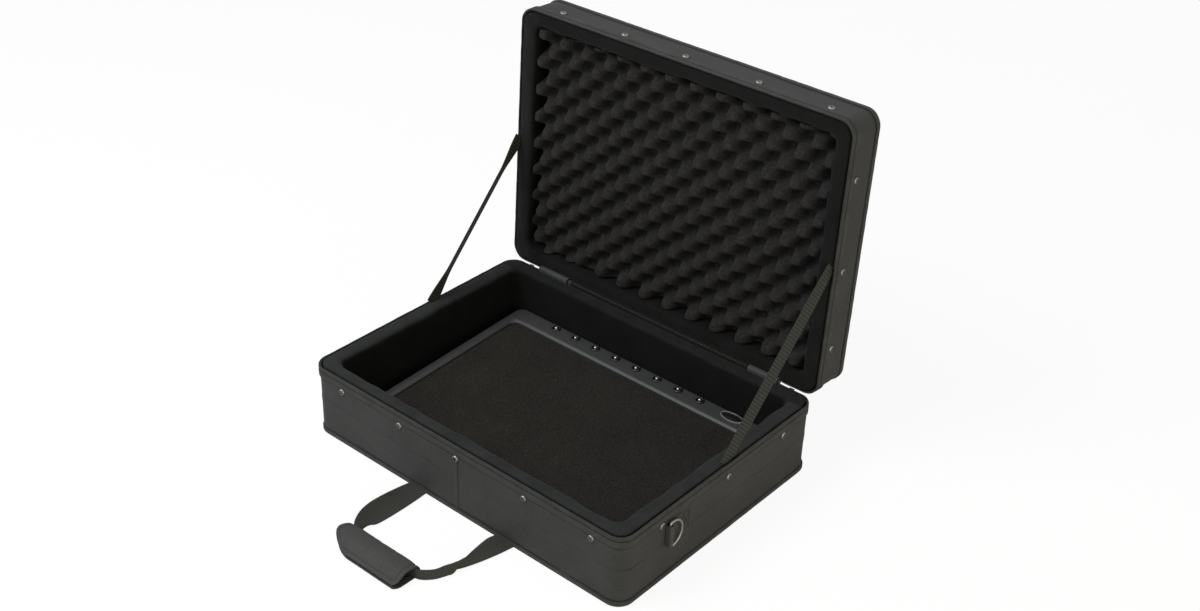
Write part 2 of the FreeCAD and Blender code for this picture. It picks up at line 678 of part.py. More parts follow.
def base_handle():
    webbing = webbing_loop("base_handle_webbing", "handle_shift", "handle_lean_left", "handle_lean_right")
    out = "(-case_depth / 2 - binding_proud - handle_gap)"
    webbing.setExpression("Placement.Base.y", formula(out))
    webbing.setExpression("Placement.Base.z", formula("handle_height"))

    grip = new_body("base_handle_grip")
    middle = "(handle_shift - (handle_lean_left + handle_lean_right) / 2)"
    outline = new_sketch(grip, "outline", "YZ_Plane", f"{middle} - grip_length / 2")
    centre = f"({out} - handle_reach + webbing_width / 2)"
    add_rounded(outline, f"{centre} - grip_width / 2", "0", "grip_width", "grip_height",
                "grip_rounding", "grip_rounding")
    slot_height = "(webbing + 2 * seat_gap)"
    slot_half = "(grip_width / 2 - grip_wall)"
    low, high = f"handle_height - {slot_height} / 2", f"handle_height + {slot_height} / 2"
    near, far = f"{centre} - {slot_half}", f"{centre} + {slot_half}"
    add_polygon(outline, [(near, low), (far, low), (far, high), (near, high)])
    pad(grip, outline, "grip_length")

    notch = new_sketch(grip, "notch", offset=low)
    wall_near, wall_far = f"{centre} + {slot_half} - seat_gap", f"{centre} + grip_width / 2 + grip_wall"
    left_arm = "(handle_shift - handle_pitch / 2 + webbing_width / 2 - handle_lean_left + grip_notch_gap)"
    right_arm = "(handle_shift + handle_pitch / 2 - webbing_width / 2 - handle_lean_right - grip_notch_gap)"
    for start, stop in ((f"{middle} - grip_length / 2 - grip_wall", left_arm),
                        (right_arm, f"{middle} + grip_length / 2 + grip_wall")):
        add_polygon(notch, [(start, wall_near), (stop, wall_near), (stop, wall_far), (start, wall_far)])
    pocket(grip, notch, slot_height, "notch_cut", backwards=True)
    return [webbing, grip]


def lid_handle():
    """Hangs straight down behind the open lid, from the seam at its front edge."""
    webbing = webbing_loop("lid_handle_webbing", "0", "0", "0")
    webbing.Placement = FreeCAD.Placement(Vector(), FreeCAD.Rotation(Vector(1, 0, 0), 90))
    reach = "(case_depth - handle_drop)"
    out = "(lid_height + webbing / 2 + handle_gap)"
    place_y = f"case_depth / 2 - {reach} * cos(lid_open_angle) + {out} * sin(lid_open_angle)"
    place_z = f"base_height + {reach} * sin(lid_open_angle) + {out} * cos(lid_open_angle)"
    webbing.setExpression("Placement.Base.y", formula(place_y))
    webbing.setExpression("Placement.Base.z", formula(place_z))
    return webbing


# D rings and the webbing tabs that hold them
def d_ring(side):
    """A ring bent from square wire, and the folded tab that its bar turns in."""
    name = "right" if side > 0 else "left"
    bar_x = f"({side} * (case_width / 2 + ring_standoff))"
    bore = "(ring_wire / sqrt(2) + tab_gap)"

    tab = new_body(f"{name}_ring_tab")
    low_end = "ring_height - tab_length / 2"
    plan = new_sketch(tab, "plan", offset=low_end)
    near, far = ("case_width / 2", bar_x) if side > 0 else (bar_x, "-case_width / 2")
    low, high = f"ring_reach - {bore} - tab_wall", f"ring_reach + {bore} + tab_wall"
    add_polygon(plan, [(near, low), (far, low), (far, high), (near, high)])
    pad(tab, plan, "tab_length", "flat")
    nose = new_sketch(tab, "nose", offset=low_end)
    add_circle(nose, bar_x, "ring_reach", f"{bore} + tab_wall")
    pad(tab, nose, "tab_length", "fold")
    hole = new_sketch(tab, "hole", offset=low_end)
    add_circle(hole, bar_x, "ring_reach", bore)
    pocket(tab, hole, "tab_length", "bar_hole", backwards=True)

    ring = new_body(f"{name}_d_ring")
    outline = new_sketch(ring, "outline", "YZ_Plane", bar_x)
    half_wire = "ring_wire / 2"
    add_rounded(outline, f"ring_reach - {half_wire}", f"ring_height - ring_length / 2 - {half_wire}",
                "ring_depth + ring_wire", "ring_length + ring_wire",
                f"ring_bar_corner + {half_wire}", f"ring_bow_corner + {half_wire}")
    add_rounded(outline, f"ring_reach + {half_wire}", f"ring_height - ring_length / 2 + {half_wire}",
                "ring_depth - ring_wire", "ring_length - ring_wire",
                f"ring_bar_corner - {half_wire}", f"ring_bow_corner - {half_wire}")
    pad(ring, outline, "ring_wire", both_ways=True)
    return [tab, ring]


# Zip sliders, parked at the ends of the zip behind the case
def zip_slider(side):
    """A slider with a pierced bridge, and the pull whose bar turns in it."""
    name = "right" if side > 0 else "left"
    plate_y = "(case_depth / 2 + hem_proud + seat_gap)"
    top = "(base_height - slider_top)"
    middle = f"{side} * ({ZIP_END} + slider_park)"
    bridge_y = f"({plate_y} + slider_plate)"
    bridge_z = f"({top} - slider_length / 2)"
    pin_y = f"({bridge_y} + bridge_depth / 2)"

    slider = new_body(f"{name}_zip_slider")
    plate = new_sketch(slider, "plate", "YZ_Plane", f"{middle} - slider_width / 2")
    add_polygon(plate, [(plate_y, f"{top} - slider_length"), (bridge_y, f"{top} - slider_length"),
                        (bridge_y, top), (plate_y, top)])
    pad(slider, plate, "slider_width", "plate_pad")
    bridge = new_sketch(slider, "bridge", "YZ_Plane", f"{middle} - bridge_width / 2")
    low, high = f"{bridge_z} - bridge_height / 2", f"{bridge_z} + bridge_height / 2"
    add_polygon(bridge, [(bridge_y, low), (f"{bridge_y} + bridge_depth", low),
                         (f"{bridge_y} + bridge_depth", high), (bridge_y, high)])
    pad(slider, bridge, "bridge_width", "bridge_pad")
    bore = new_sketch(slider, "bore", "YZ_Plane", f"{middle} - slider_width / 2")
    add_circle(bore, pin_y, bridge_z, "pull_bore")
    pocket(slider, bore, "slider_width", "bore_cut", backwards=True)

    pull = new_body(f"{name}_zip_pull")
    face = new_sketch(pull, "face", "XZ_Plane", f"-{pin_y}")
    crown = f"({bridge_z} + pull_thickness / 2)"
    left, right = f"{middle} - pull_width / 2", f"{middle} + pull_width / 2"
    low = f"{crown} - pull_length"
    taper = "pull_thickness"
    add_polygon(face, [(f"{left} + {taper}", low), (f"{right} - {taper}", low), (right, f"{low} + {taper}"),
                       (right, f"{crown} - {taper}"), (f"{right} - {taper}", crown),
                       (f"{left} + {taper}", crown), (left, f"{crown} - {taper}"), (left, f"{low} + {taper}")])
    window_left, window_right = f"{left} + pull_arm", f"{right} - pull_arm"
    window_low, window_high = f"{crown} - pull_thickness - pull_window", f"{crown} - pull_thickness"
    add_polygon(face, [(window_left, window_low), (window_right, window_low),
                       (window_right, window_high), (window_left, window_high)])
    pad(pull, face, "pull_thickness", both_ways=True)
    return [slider, pull]


# Pedal board
DECK_RISE = "(deck_back_height - deck_front_height)"
DECK_WIDTH = "(case_width - 2 * side_wall - 2 * deck_side_gap)"
DECK_FRONT = "(end_wall + deck_front_gap - case_depth / 2)"
DECK_BACK = "(case_depth / 2 - end_wall - deck_back_gap)"
DECK_RUN = "(case_depth - 2 * end_wall - deck_front_gap - deck_back_gap)"
DECK_FLOOR = "(cloth + panel + floor_pad + seat_gap + foot_height + bottom_plate)"


def under_deck(reach, depth):
    """A point below the sloped deck, at a distance behind the frame's front edge."""
    return f"{DECK_FRONT} + {reach}", f"deck_front_height + {DECK_RISE} * ({reach}) / {DECK_RUN} - ({depth})"


def deck_frame():
    """A moulded wedge, open below, with a recess for the carpet and a ledge for the sockets."""
    body = new_body("deck_moulding")
    side = new_sketch(body, "side", "YZ_Plane")
    add_polygon(side, [(DECK_FRONT, DECK_FLOOR), (DECK_BACK, DECK_FLOOR),
                       (DECK_BACK, "deck_back_height"), (DECK_FRONT, "deck_front_height")])
    pad(body, side, DECK_WIDTH, "wedge", both_ways=True)

    def upright(edge):
        box = edge.BoundBox
        return same(box.XLength, 0) and same(box.YLength, 0)

    dress(body, "Fillet", "deck_corner", "corners", upright)
    dress(body, "Chamfer", "deck_edge", "top_edge", lambda edge: (
        not upright(edge) and not level_at(edge, value(DECK_FLOOR))))

    recess = new_sketch(body, "recess", "YZ_Plane")
    front, back = "deck_front_rail", f"({DECK_RUN} - deck_ledge)"
    add_polygon(recess, [under_deck(front, "carpet"), under_deck(back, "carpet"),
                         under_deck(back, "-carpet"), under_deck(front, "-carpet")])
    pocket(body, recess, f"{DECK_WIDTH} - 2 * deck_rail", "recess_cut", both_ways=True)
    half_recess = value(f"{DECK_WIDTH} / 2 - deck_rail")
    ends = [value(f"{DECK_FRONT} + {front}"), value(f"{DECK_FRONT} + {back}")]

    def round_recess(edge):
        box = edge.BoundBox
        middle = box.Center
        across, height = (value(text) for text in under_deck(str(middle.y - value(DECK_FRONT)), "0"))
        at_side = same(abs(middle.x), half_recess) and same(box.XLength, 0)
        at_end = any(same(middle.y, end) for end in ends) and same(box.YLength, 0)
        return same(middle.z, height) and not same(box.XLength + box.YLength, 0) and (at_side or at_end)

    dress(body, "Chamfer", "carpet_bevel", "bevel", round_recess)

    hollow = new_sketch(body, "hollow", "YZ_Plane")
    inner_front, inner_back = "deck_skin", f"({DECK_RUN} - deck_skin)"
    step = f"({DECK_RUN} - deck_ledge + deck_skin)"
    below = f"{DECK_FLOOR} - deck_skin"
    add_polygon(hollow, [
        (f"{DECK_FRONT} + {inner_front}", below),
        (f"{DECK_FRONT} + {inner_back}", below),
        under_deck(inner_back, "deck_skin"),
        under_deck(step, "deck_skin"),
        under_deck(step, "carpet + deck_skin"),
        under_deck(inner_front, "carpet + deck_skin"),
    ])
    pocket(body, hollow, f"{DECK_WIDTH} - 2 * deck_side_wall", "hollow_cut", both_ways=True)

    holes = []
    for number, across in enumerate(socket_places()):
        holes.append(hole_tool(f"socket_hole_{number}", across, "socket_radius + bore_gap"))
    holes.append(hole_tool("lamp_hole", LAMP_X, "led_radius + bore_gap"))
    frame = document.addObject("Part::Cut", "deck_frame")
    frame.Label = "deck_frame"
    frame.Base, frame.Tool = body, group_of("deck_holes", holes)
    return frame


def socket_places():
    return [f"({SOCKET_FIRST} + {number} * socket_pitch)" for number in range(8)]


SOCKET_FIRST = f"(socket_inset - {DECK_WIDTH} / 2)"
LAMP_X = f"({SOCKET_FIRST} - led_left)"
SOCKET_Y = f"({DECK_BACK} - socket_reach)"
LEDGE_UNDER = under_deck(f"({DECK_RUN} - socket_reach)", "deck_skin")[1]
SOCKET_RISE = f"({DECK_RISE} / {DECK_RUN} * socket_width / 2)"
SOCKET_TOP = f"({LEDGE_UNDER} - {SOCKET_RISE})"
SOCKET_NOSE = f"({LEDGE_UNDER} + deck_skin - {SOCKET_RISE})"
SOCKET_FLOOR = f"({SOCKET_NOSE} - socket_depth)"
SOCKET_BOTTOM = f"({SOCKET_FLOOR} - socket_floor)"


def twelve_sided(name, across, radius, bottom, height, sides=12):
    """A faceted rod that stands in the row of sockets."""
    rod = document.addObject("Part::Prism", name)
    rod.Polygon = sides
    rod.setExpression("Circumradius", formula(radius))
    rod.setExpression("Height", formula(height))
    rod.setExpression("Placement.Base.x", formula(across))
    rod.setExpression("Placement.Base.y", formula(SOCKET_Y))
    rod.setExpression("Placement.Base.z", formula(bottom))
    return rod


def hole_tool(name, across, radius):
    return twelve_sided(name, across, radius, SOCKET_TOP, "3 * deck_skin")


def deck_carpet():
    body = new_body("deck_carpet")
    profile = new_sketch(body, "side", "YZ_Plane")
    front, back = "(deck_front_rail + carpet_gap)", f"({DECK_RUN} - deck_ledge - carpet_gap)"
    add_polygon(profile, [under_deck(front, "carpet"), under_deck(back, "carpet"),
                          under_deck(back, "carpet - carpet_pile"), under_deck(front, "carpet - carpet_pile")])
    pad(body, profile, f"{DECK_WIDTH} - 2 * deck_rail - 2 * carpet_gap", both_ways=True)
    return body


def deck_bottom_plate():
    body = new_body("deck_bottom_plate")
    outline = new_sketch(body, "outline", offset=f"{DECK_FLOOR} - bottom_plate")
    inset = "deck_skin / 2"
    add_rounded(outline, f"{inset} - {DECK_WIDTH} / 2", f"{DECK_FRONT} + {inset}",
                f"{DECK_WIDTH} - 2 * {inset}", f"{DECK_RUN} - 2 * {inset}", "deck_corner", "deck_corner")
    pad(body, outline, "bottom_plate")
    return body


def deck_feet():
    """Rubber feet bonded under the bottom plate."""
    feet = []
    edge = f"{DECK_WIDTH} / 2 - foot_inset"
    for column, across in enumerate((f"-({edge})", "0", edge)):
        for row, along in enumerate((f"{DECK_FRONT} + foot_inset", f"{DECK_BACK} - foot_inset")):
            foot = document.addObject("Part::Prism", f"foot_{column}_{row}")
            foot.Polygon = 12
            foot.setExpression("Circumradius", formula("foot_radius"))
            foot.setExpression("Height", formula("foot_height"))
            foot.setExpression("Placement.Base.x", formula(across))
            foot.setExpression("Placement.Base.y", formula(along))
            foot.setExpression("Placement.Base.z", formula(f"{DECK_FLOOR} - bottom_plate - foot_height"))
            feet.append(foot)
    return group_of("deck_feet", feet)


def socket_pieces():
    """Power sockets with their centre pins under the ledge, and the circuit strip that joins them."""
    sockets, pins = [], []
    for number, across in enumerate(socket_places()):
        case = document.addObject("Part::Box", f"socket_case_{number}")
        case.setExpression("Length", formula("socket_width"))
        case.setExpression("Width", formula("socket_width"))
        case.setExpression("Height", formula(f"{SOCKET_TOP} - {SOCKET_BOTTOM}"))
        case.setExpression("Placement.Base.x", formula(f"{across} - socket_width / 2"))
        case.setExpression("Placement.Base.y", formula(f"{SOCKET_Y} - socket_width / 2"))
        case.setExpression("Placement.Base.z", formula(SOCKET_BOTTOM))
        nose = twelve_sided(f"socket_nose_{number}", across, "socket_radius", SOCKET_TOP,
                            f"{SOCKET_NOSE} - {SOCKET_TOP}")
        whole = document.addObject("Part::Fuse", f"socket_whole_{number}")
        whole.Base, whole.Tool = case, nose
        socket = document.addObject("Part::Cut", f"socket_{number}")
        socket.Base = whole
        socket.Tool = twelve_sided(f"socket_mouth_{number}", across, "socket_bore", SOCKET_FLOOR,
                                   "2 * socket_depth")
        sockets.append(socket)
        pins.append(twelve_sided(f"socket_pin_{number}", across, "pin_radius", SOCKET_FLOOR,
                                 "socket_depth - pin_below", 8))

    strip = document.addObject("Part::Box", "circuit_strip")
    strip.Label = "circuit_strip"
    left, right = f"({LAMP_X} - circuit_width / 2)", f"({socket_places()[-1]} + circuit_width / 2)"
    strip.setExpression("Length", formula(f"{right} - {left}"))
    strip.setExpression("Width", formula("circuit_width"))
    strip.setExpression("Height", formula("circuit_thickness"))
    strip.setExpression("Placement.Base.x", formula(left))
    strip.setExpression("Placement.Base.y", formula(f"{SOCKET_Y} - circuit_width / 2"))
    strip.setExpression("Placement.Base.z", formula(f"{SOCKET_BOTTOM} - circuit_thickness"))

    lamp = twelve_sided("power_led", LAMP_X, "led_radius", SOCKET_BOTTOM,
                        f"{SOCKET_NOSE} + led_radius - {SOCKET_BOTTOM}")
    lamp.Label = "power_led"
    return [group_of("power_sockets", sockets), group_of("socket_pins", pins), strip, lamp]


# Assembly
screw = screw_pattern()
pieces = half_shell("base", "base_height", -1, screw, BASE_SCREW_Y_SHARES)
pieces += half_shell("lid", "lid_height", 1, screw, LID_SCREW_Y_SHARES)
pieces += [floor_padding(), convoluted_foam()]
pieces += hinge_pieces()
pieces.append(stay_strap("right_stay_strap", 1, "strap_seat_right"))
pieces.append(stay_strap("left_stay_strap", -1, "strap_seat_left"))
pieces += base_handle() + [lid_handle()]
pieces += d_ring(1) + d_ring(-1)
pieces += zip_slider(1) + zip_slider(-1)
pieces += [deck_frame(), deck_carpet(), deck_bottom_plate(), deck_feet()]
pieces += socket_pieces()
document.recompute()

faults = [item.Label for item in document.Objects if {"Invalid", "Error"} & set(item.State)]
for piece in pieces:
    if piece.Shape.isNull() or not piece.Shape.isValid():
        faults.append(piece.Label)
if faults:
    raise RuntimeError(f"these objects failed: {faults}")

os.makedirs("parts", exist_ok=True)
for piece in pieces:
    piece.Shape.exportStep(f"parts/{piece.Label}.step")
print(f"{len(pieces)} nodes, {sum(len(piece.Shape.Solids) for piece in pieces)} solids")
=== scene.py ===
import math

import bmesh
import bpy
import numpy as np
from mathutils import Matrix, Vector, noise


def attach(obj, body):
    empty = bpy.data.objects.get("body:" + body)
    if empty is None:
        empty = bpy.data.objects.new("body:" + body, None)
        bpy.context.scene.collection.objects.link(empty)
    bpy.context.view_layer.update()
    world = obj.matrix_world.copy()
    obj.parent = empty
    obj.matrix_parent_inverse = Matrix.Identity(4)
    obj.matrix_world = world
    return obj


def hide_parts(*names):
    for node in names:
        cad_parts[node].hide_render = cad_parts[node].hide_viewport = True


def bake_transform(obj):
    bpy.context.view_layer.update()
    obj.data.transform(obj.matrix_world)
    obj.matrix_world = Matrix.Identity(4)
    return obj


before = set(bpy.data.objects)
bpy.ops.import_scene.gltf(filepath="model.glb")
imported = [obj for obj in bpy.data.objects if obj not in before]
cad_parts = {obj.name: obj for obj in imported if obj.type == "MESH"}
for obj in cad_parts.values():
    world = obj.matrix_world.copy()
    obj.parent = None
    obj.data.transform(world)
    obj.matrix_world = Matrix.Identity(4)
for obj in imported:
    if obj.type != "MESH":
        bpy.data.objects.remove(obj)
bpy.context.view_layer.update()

# Panels and wall frames: pressed board and extruded plastic sheet under the cloth.
# They are the case's skeleton, cut flat and bonded; only a raw edge ever shows, brown and dull.
MM = 0.001


def linear(code):
    """A linear colour from an sRGB hex code."""
    parts = [int(code[start:start + 2], 16) / 255 for start in (1, 3, 5)]
    return [part / 12.92 if part <= 0.04045 else ((part + 0.055) / 1.055) ** 2.4 for part in parts] + [1]


def add_node(material, kind, links=(), **settings):
    """Adds a node; links are (socket, value or the output that feeds it)."""
    node = material.node_tree.nodes.new("ShaderNode" + kind)
    for name, value in settings.items():
        setattr(node, name, value)
    for socket, value in links:
        if isinstance(value, bpy.types.NodeSocket):
            material.node_tree.links.new(value, node.inputs[socket])
        else:
            node.inputs[socket].default_value = value
    return node


def new_material(name):
    material = bpy.data.materials.new(name)
    material.use_nodes = True
    material.node_tree.nodes.clear()
    return material


def set_surface(material, color, roughness, bump, **sockets):
    """The principled shader and its output, with a bump of (height, strength, distance in mm)."""
    height, strength, distance = bump
    relief = add_node(material, "Bump", [("Height", height), ("Strength", strength),
                                         ("Distance", distance * MM)])
    shader = add_node(material, "BsdfPrincipled", [
        ("Base Color", color), ("Roughness", roughness), ("Normal", relief.outputs["Normal"])])
    for name, value in sockets.items():
        shader.inputs[name.replace("_", " ")].default_value = value
    add_node(material, "OutputMaterial", [("Surface", shader.outputs["BSDF"])])


def grain(material, coordinates, size, detail=2.0, roughness=0.5):
    """Noise with features of that size in mm."""
    return add_node(material, "TexNoise", [("Vector", coordinates), ("Scale", 1 / (size * MM)),
                                           ("Detail", detail), ("Roughness", roughness)]).outputs["Fac"]


def between(material, factor, low, high):
    """A colour between two hex codes."""
    mix = add_node(material, "Mix", [(0, factor), (6, linear(low)), (7, linear(high))], data_type="RGBA")
    return mix.outputs[2]


def paint(material, *nodes):
    """Gives CAD nodes this finish."""
    for name in nodes:
        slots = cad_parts[name].material_slots
        if slots:
            for item in slots:
                item.material = material
        else:
            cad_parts[name].data.materials.append(material)


def mottled(name, dark, light, speckle, roughness, relief, **sockets):
    """A finish of two close colours; speckle is (size in mm, detail), relief (strength, depth in mm)."""
    material = new_material(name)
    spots = grain(material, add_node(material, "TexCoord").outputs["Object"], *speckle)
    set_surface(material, between(material, spots, dark, light), roughness, (spots, *relief), **sockets)
    return material


board = mottled("pressed_fibreboard", "#191715", "#262320", (1.5, 4), 0.9, (0.3, 0.2))
paint(board, "base_floor_board", "lid_top_board", "base_wall_frame", "lid_wall_frame")


# Outer cloth: 600 denier polyester, plain woven and coated, stretched over the panels.
# The coating leaves it nearly matt, with a faint weave and soft puckers at the seams.
WIDTH, DEPTH, CORNER = 640, 456, 26
BASE_HEIGHT, LID_HEIGHT = 128, 73
OPEN_ANGLE = math.radians(92.9)
HINGE_END = 256


def deselect():
    bpy.ops.object.select_all(action="DESELECT")


def take(piece):
    deselect()
    piece.select_set(True)
    bpy.context.view_layer.objects.active = piece


def modify(piece, kind, **settings):
    """Adds a modifier and applies it."""
    take(piece)
    modifier = piece.modifiers.new(kind, kind)
    for name, value in settings.items():
        setattr(modifier, name, value)
    bpy.ops.object.modifier_apply(modifier=modifier.name)


def choose(piece, kind, test):
    """Selects the verts, edges or faces of the mesh in edit mode that pass a test."""
    bpy.ops.mesh.select_mode(type={"verts": "VERT", "edges": "EDGE", "faces": "FACE"}[kind])
    bpy.ops.mesh.select_all(action="DESELECT")
    mesh = bmesh.from_edit_mesh(piece.data)
    for item in getattr(mesh, kind):
        if test(item):
            item.select_set(True)
    mesh.select_flush_mode()
    bmesh.update_edit_mesh(piece.data)


def begin(name, size, primitive=bpy.ops.mesh.primitive_plane_add, **settings):
    """A primitive of that size at the origin, in edit mode and selected all over."""
    deselect()
    primitive(size=1, **settings)
    piece = bpy.context.object
    piece.name = piece.data.name = name
    bpy.ops.object.mode_set(mode="EDIT")
    bpy.ops.mesh.select_all(action="SELECT")
    bpy.ops.transform.resize(value=size, center_override=(0, 0, 0))
    return piece


def closed(piece):
    """Merges doubles and points the faces outwards."""
    bpy.ops.mesh.select_all(action="SELECT")
    bpy.ops.mesh.remove_doubles(threshold=0.01)
    bpy.ops.mesh.normals_make_consistent(inside=False)
    bpy.ops.object.mode_set(mode="OBJECT")


def smooth(piece, angle=40):
    take(piece)
    bpy.ops.object.shade_smooth_by_angle(angle=math.radians(angle))


def outline(name, out, up, width=WIDTH, depth=DEPTH, corner=CORNER, long_cuts=31):
    """The case's plan outline in millimetres, in edit mode, as one loop of edges."""
    piece = begin(name, (width + 2 * out, depth + 2 * out, 1))
    bpy.ops.transform.translate(value=(0, 0, up))
    bpy.ops.mesh.bevel(offset=corner + out, affect="VERTICES", segments=10)
    bpy.ops.mesh.delete(type="ONLY_FACE")
    choose(piece, "edges", lambda edge: edge.calc_length() > depth / 2)
    bpy.ops.mesh.subdivide(number_cuts=long_cuts)
    bpy.ops.mesh.select_all(action="SELECT")
    return piece


def grow(rows, width=WIDTH, depth=DEPTH):
    """Extrudes the selected loop through (out, up) rows, each out from the outline."""
    for (out, up), (next_out, next_up) in zip(rows, rows[1:]):
        bpy.ops.mesh.extrude_edges_move(TRANSFORM_OT_translate={"value": (0, 0, next_up - up)})
        scale = [(size + 2 * next_out) / (size + 2 * out) for size in (width, depth)]
        bpy.ops.transform.resize(value=(*scale, 1), center_override=(0, 0, 0))


def band(name, rows, **sizes):
    """A closed band round the case whose section goes through the rows."""
    rows = rows + rows[:1]
    piece = outline(name, *rows[0], **sizes)
    grow(rows)
    closed(piece)
    return piece


def open_band(name, rows, back, **sizes):
    """A band that stops at either side of the cloth hinge, which lies on the back side, -1 or 1."""
    piece = band(name, rows, **sizes)
    bpy.ops.object.mode_set(mode="EDIT")
    for side in (-1, 1):
        bpy.ops.mesh.select_all(action="SELECT")
        bpy.ops.mesh.bisect(plane_co=(side * HINGE_END, 0, 0), plane_no=(1, 0, 0))
    choose(piece, "faces", lambda face: (
        abs(face.calc_center_median().x) < HINGE_END and face.calc_center_median().y * back > DEPTH / 3))
    bpy.ops.mesh.delete(type="FACE")
    bpy.ops.mesh.select_all(action="SELECT")
    bpy.ops.mesh.fill_holes(sides=0)
    closed(piece)
    return piece


# Each half is modelled with its rim at z = 0 and its panel above, and then turned to its place.
HALVES = {
    "base": Matrix.Translation((0, 0, BASE_HEIGHT)) @ Matrix.Rotation(math.pi, 4, "X"),
    "lid": (Matrix.Translation((0, DEPTH / 2 * (1 - math.cos(OPEN_ANGLE)),
                                BASE_HEIGHT + DEPTH / 2 * math.sin(OPEN_ANGLE)))
            @ Matrix.Rotation(-OPEN_ANGLE, 4, "X")),
}


def in_place(piece, half=None):
    """Brings a piece from millimetres, and from its half's own frame, to its place in metres."""
    piece.data.transform(Matrix.Scale(MM, 4) @ HALVES.get(half, Matrix.Identity(4)))
    return piece


def settle(piece, material, body, slot, *replaced):
    """The piece's finish, the body that it rides on and the CAD nodes that it stands for."""
    piece.data.materials.clear()
    piece.data.materials.append(material)
    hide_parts(*replaced)
    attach(piece, body)
    return piece


def pucker(piece, height, size, seed, keep=lambda co: 1):
    """Moves the vertices in and out by up to that many millimetres, in waves of that size."""
    normals = [vertex.normal.copy() for vertex in piece.data.vertices]
    for vertex, normal in zip(piece.data.vertices, normals):
        wave = noise.noise(vertex.co / size + Vector((seed, seed * 2, seed * 3)))
        vertex.co += normal * height * wave * keep(vertex.co)
    piece.data.update()


def woven(name, dark, light, thread, coating):
    """Plain woven cloth; the weave runs round the case and up it, at that thread spacing in mm."""
    material = new_material(name)
    place = add_node(material, "TexCoord").outputs["Object"]
    axes = add_node(material, "SeparateXYZ", [(0, place)])
    girth = add_node(material, "Math", [(0, axes.outputs["X"]), (1, axes.outputs["Y"])], operation="ADD")
    turns = 2 * math.pi / (thread * MM)
    threads = []
    for across in (girth.outputs[0], axes.outputs["Z"]):
        angle = add_node(material, "Math", [(0, across), (1, turns)], operation="MULTIPLY")
        threads.append(add_node(material, "Math", [(0, angle.outputs[0])], operation="SINE").outputs[0])
    weave = add_node(material, "Math", [(0, threads[0]), (1, threads[1])], operation="MULTIPLY").outputs[0]
    specks = grain(material, place, 2.2, 3, 0.65)
    clouds = grain(material, place, 60, 2)
    relief = add_node(material, "Math", [(0, weave), (1, 0.35), (2, specks)], operation="MULTIPLY_ADD")
    worn = add_node(material, "Math", [(0, clouds), (1, 0.3)], operation="MULTIPLY")
    shade = add_node(material, "Math", [(0, specks), (1, 0.7), (2, worn.outputs[0])], operation="MULTIPLY_ADD")
    spread = add_node(material, "MapRange", [(0, shade.outputs[0]), (1, 0.34), (2, 0.66)])
    set_surface(material, between(material, spread.outputs[0], dark, light), coating,
                (relief.outputs[0], 0.35, 0.25),
                Specular_IOR_Level=0.25, Sheen_Weight=0.03, Sheen_Roughness=0.5)
    return material


nylon = woven("coated_polyester_weave", "#2d2d2d", "#3e3e3e", 1.6, 0.72)

for half, height, back in (("base", BASE_HEIGHT, -1), ("lid", LID_HEIGHT, 1)):
    skin = "base_bottom_cloth" if half == "base" else "lid_top_cloth"
    sheet = outline(f"{half}_panel_skin", 0, height)
    grow([(0, height), (-0.05, height - 1.3)])
    bpy.ops.mesh.select_all(action="SELECT")
    bpy.ops.mesh.fill_holes(sides=0)
    closed(sheet)
    bpy.ops.object.mode_set(mode="EDIT")
    for cut in range(1, 40):
        bpy.ops.mesh.select_all(action="SELECT")
        bpy.ops.mesh.bisect(plane_co=(-WIDTH / 2 + WIDTH * cut / 40, 0, 0), plane_no=(1, 0, 0))
    for cut in range(1, 30):
        bpy.ops.mesh.select_all(action="SELECT")
        bpy.ops.mesh.bisect(plane_co=(0, -DEPTH / 2 + DEPTH * cut / 30, 0), plane_no=(0, 1, 0))
    closed(sheet)
    if half == "lid":
        pucker(sheet, 1.6, 90, 3.1, lambda co: min(
            1, max(0, (300 - abs(co.x)) / 40), max(0, (210 - abs(co.y)) / 40)))
    smooth(sheet)
    settle(in_place(sheet, half), nylon, half, "nylon_cloth", skin)

    low, high = 13.5, height - 1.4
    rows = [(0, low + (high - low) * step / 9) for step in range(10)] + [(-1.3, high), (-1.3, low)]
    if half == "base":
        rows[5:5] = [(0, 61.2), (-0.7, 61.8), (0.35, 62.4)]  # the sewn join between two widths of cloth
    walls = band(f"{half}_wall_skin", rows, long_cuts=47)
    pucker(walls, 1.1, 70, 7.3, lambda co: 1 if low + 2 < co.z < high - 12 else 0.15)
    smooth(walls)
    settle(in_place(walls, half), nylon, half, "nylon_cloth", f"{half}_side_cloth")

# The side cloth's two ends overlap at the middle of the front.
LAP_SIZE, LAP_X, LAP_Z = (7, 1.6, 90), -1.5, 56
lap = begin("front_lap_seam", LAP_SIZE, bpy.ops.mesh.primitive_cube_add)
bpy.ops.mesh.bevel(offset=0.5, segments=2)
choose(lap, "edges", lambda edge: edge.calc_length() > 40)
bpy.ops.mesh.subdivide(number_cuts=12)
bpy.ops.object.mode_set(mode="OBJECT")
lap.data.transform(Matrix.Translation((LAP_X, -DEPTH / 2 - 0.1, LAP_Z)))
smooth(lap)
settle(in_place(lap), nylon, "base", "nylon_cloth")


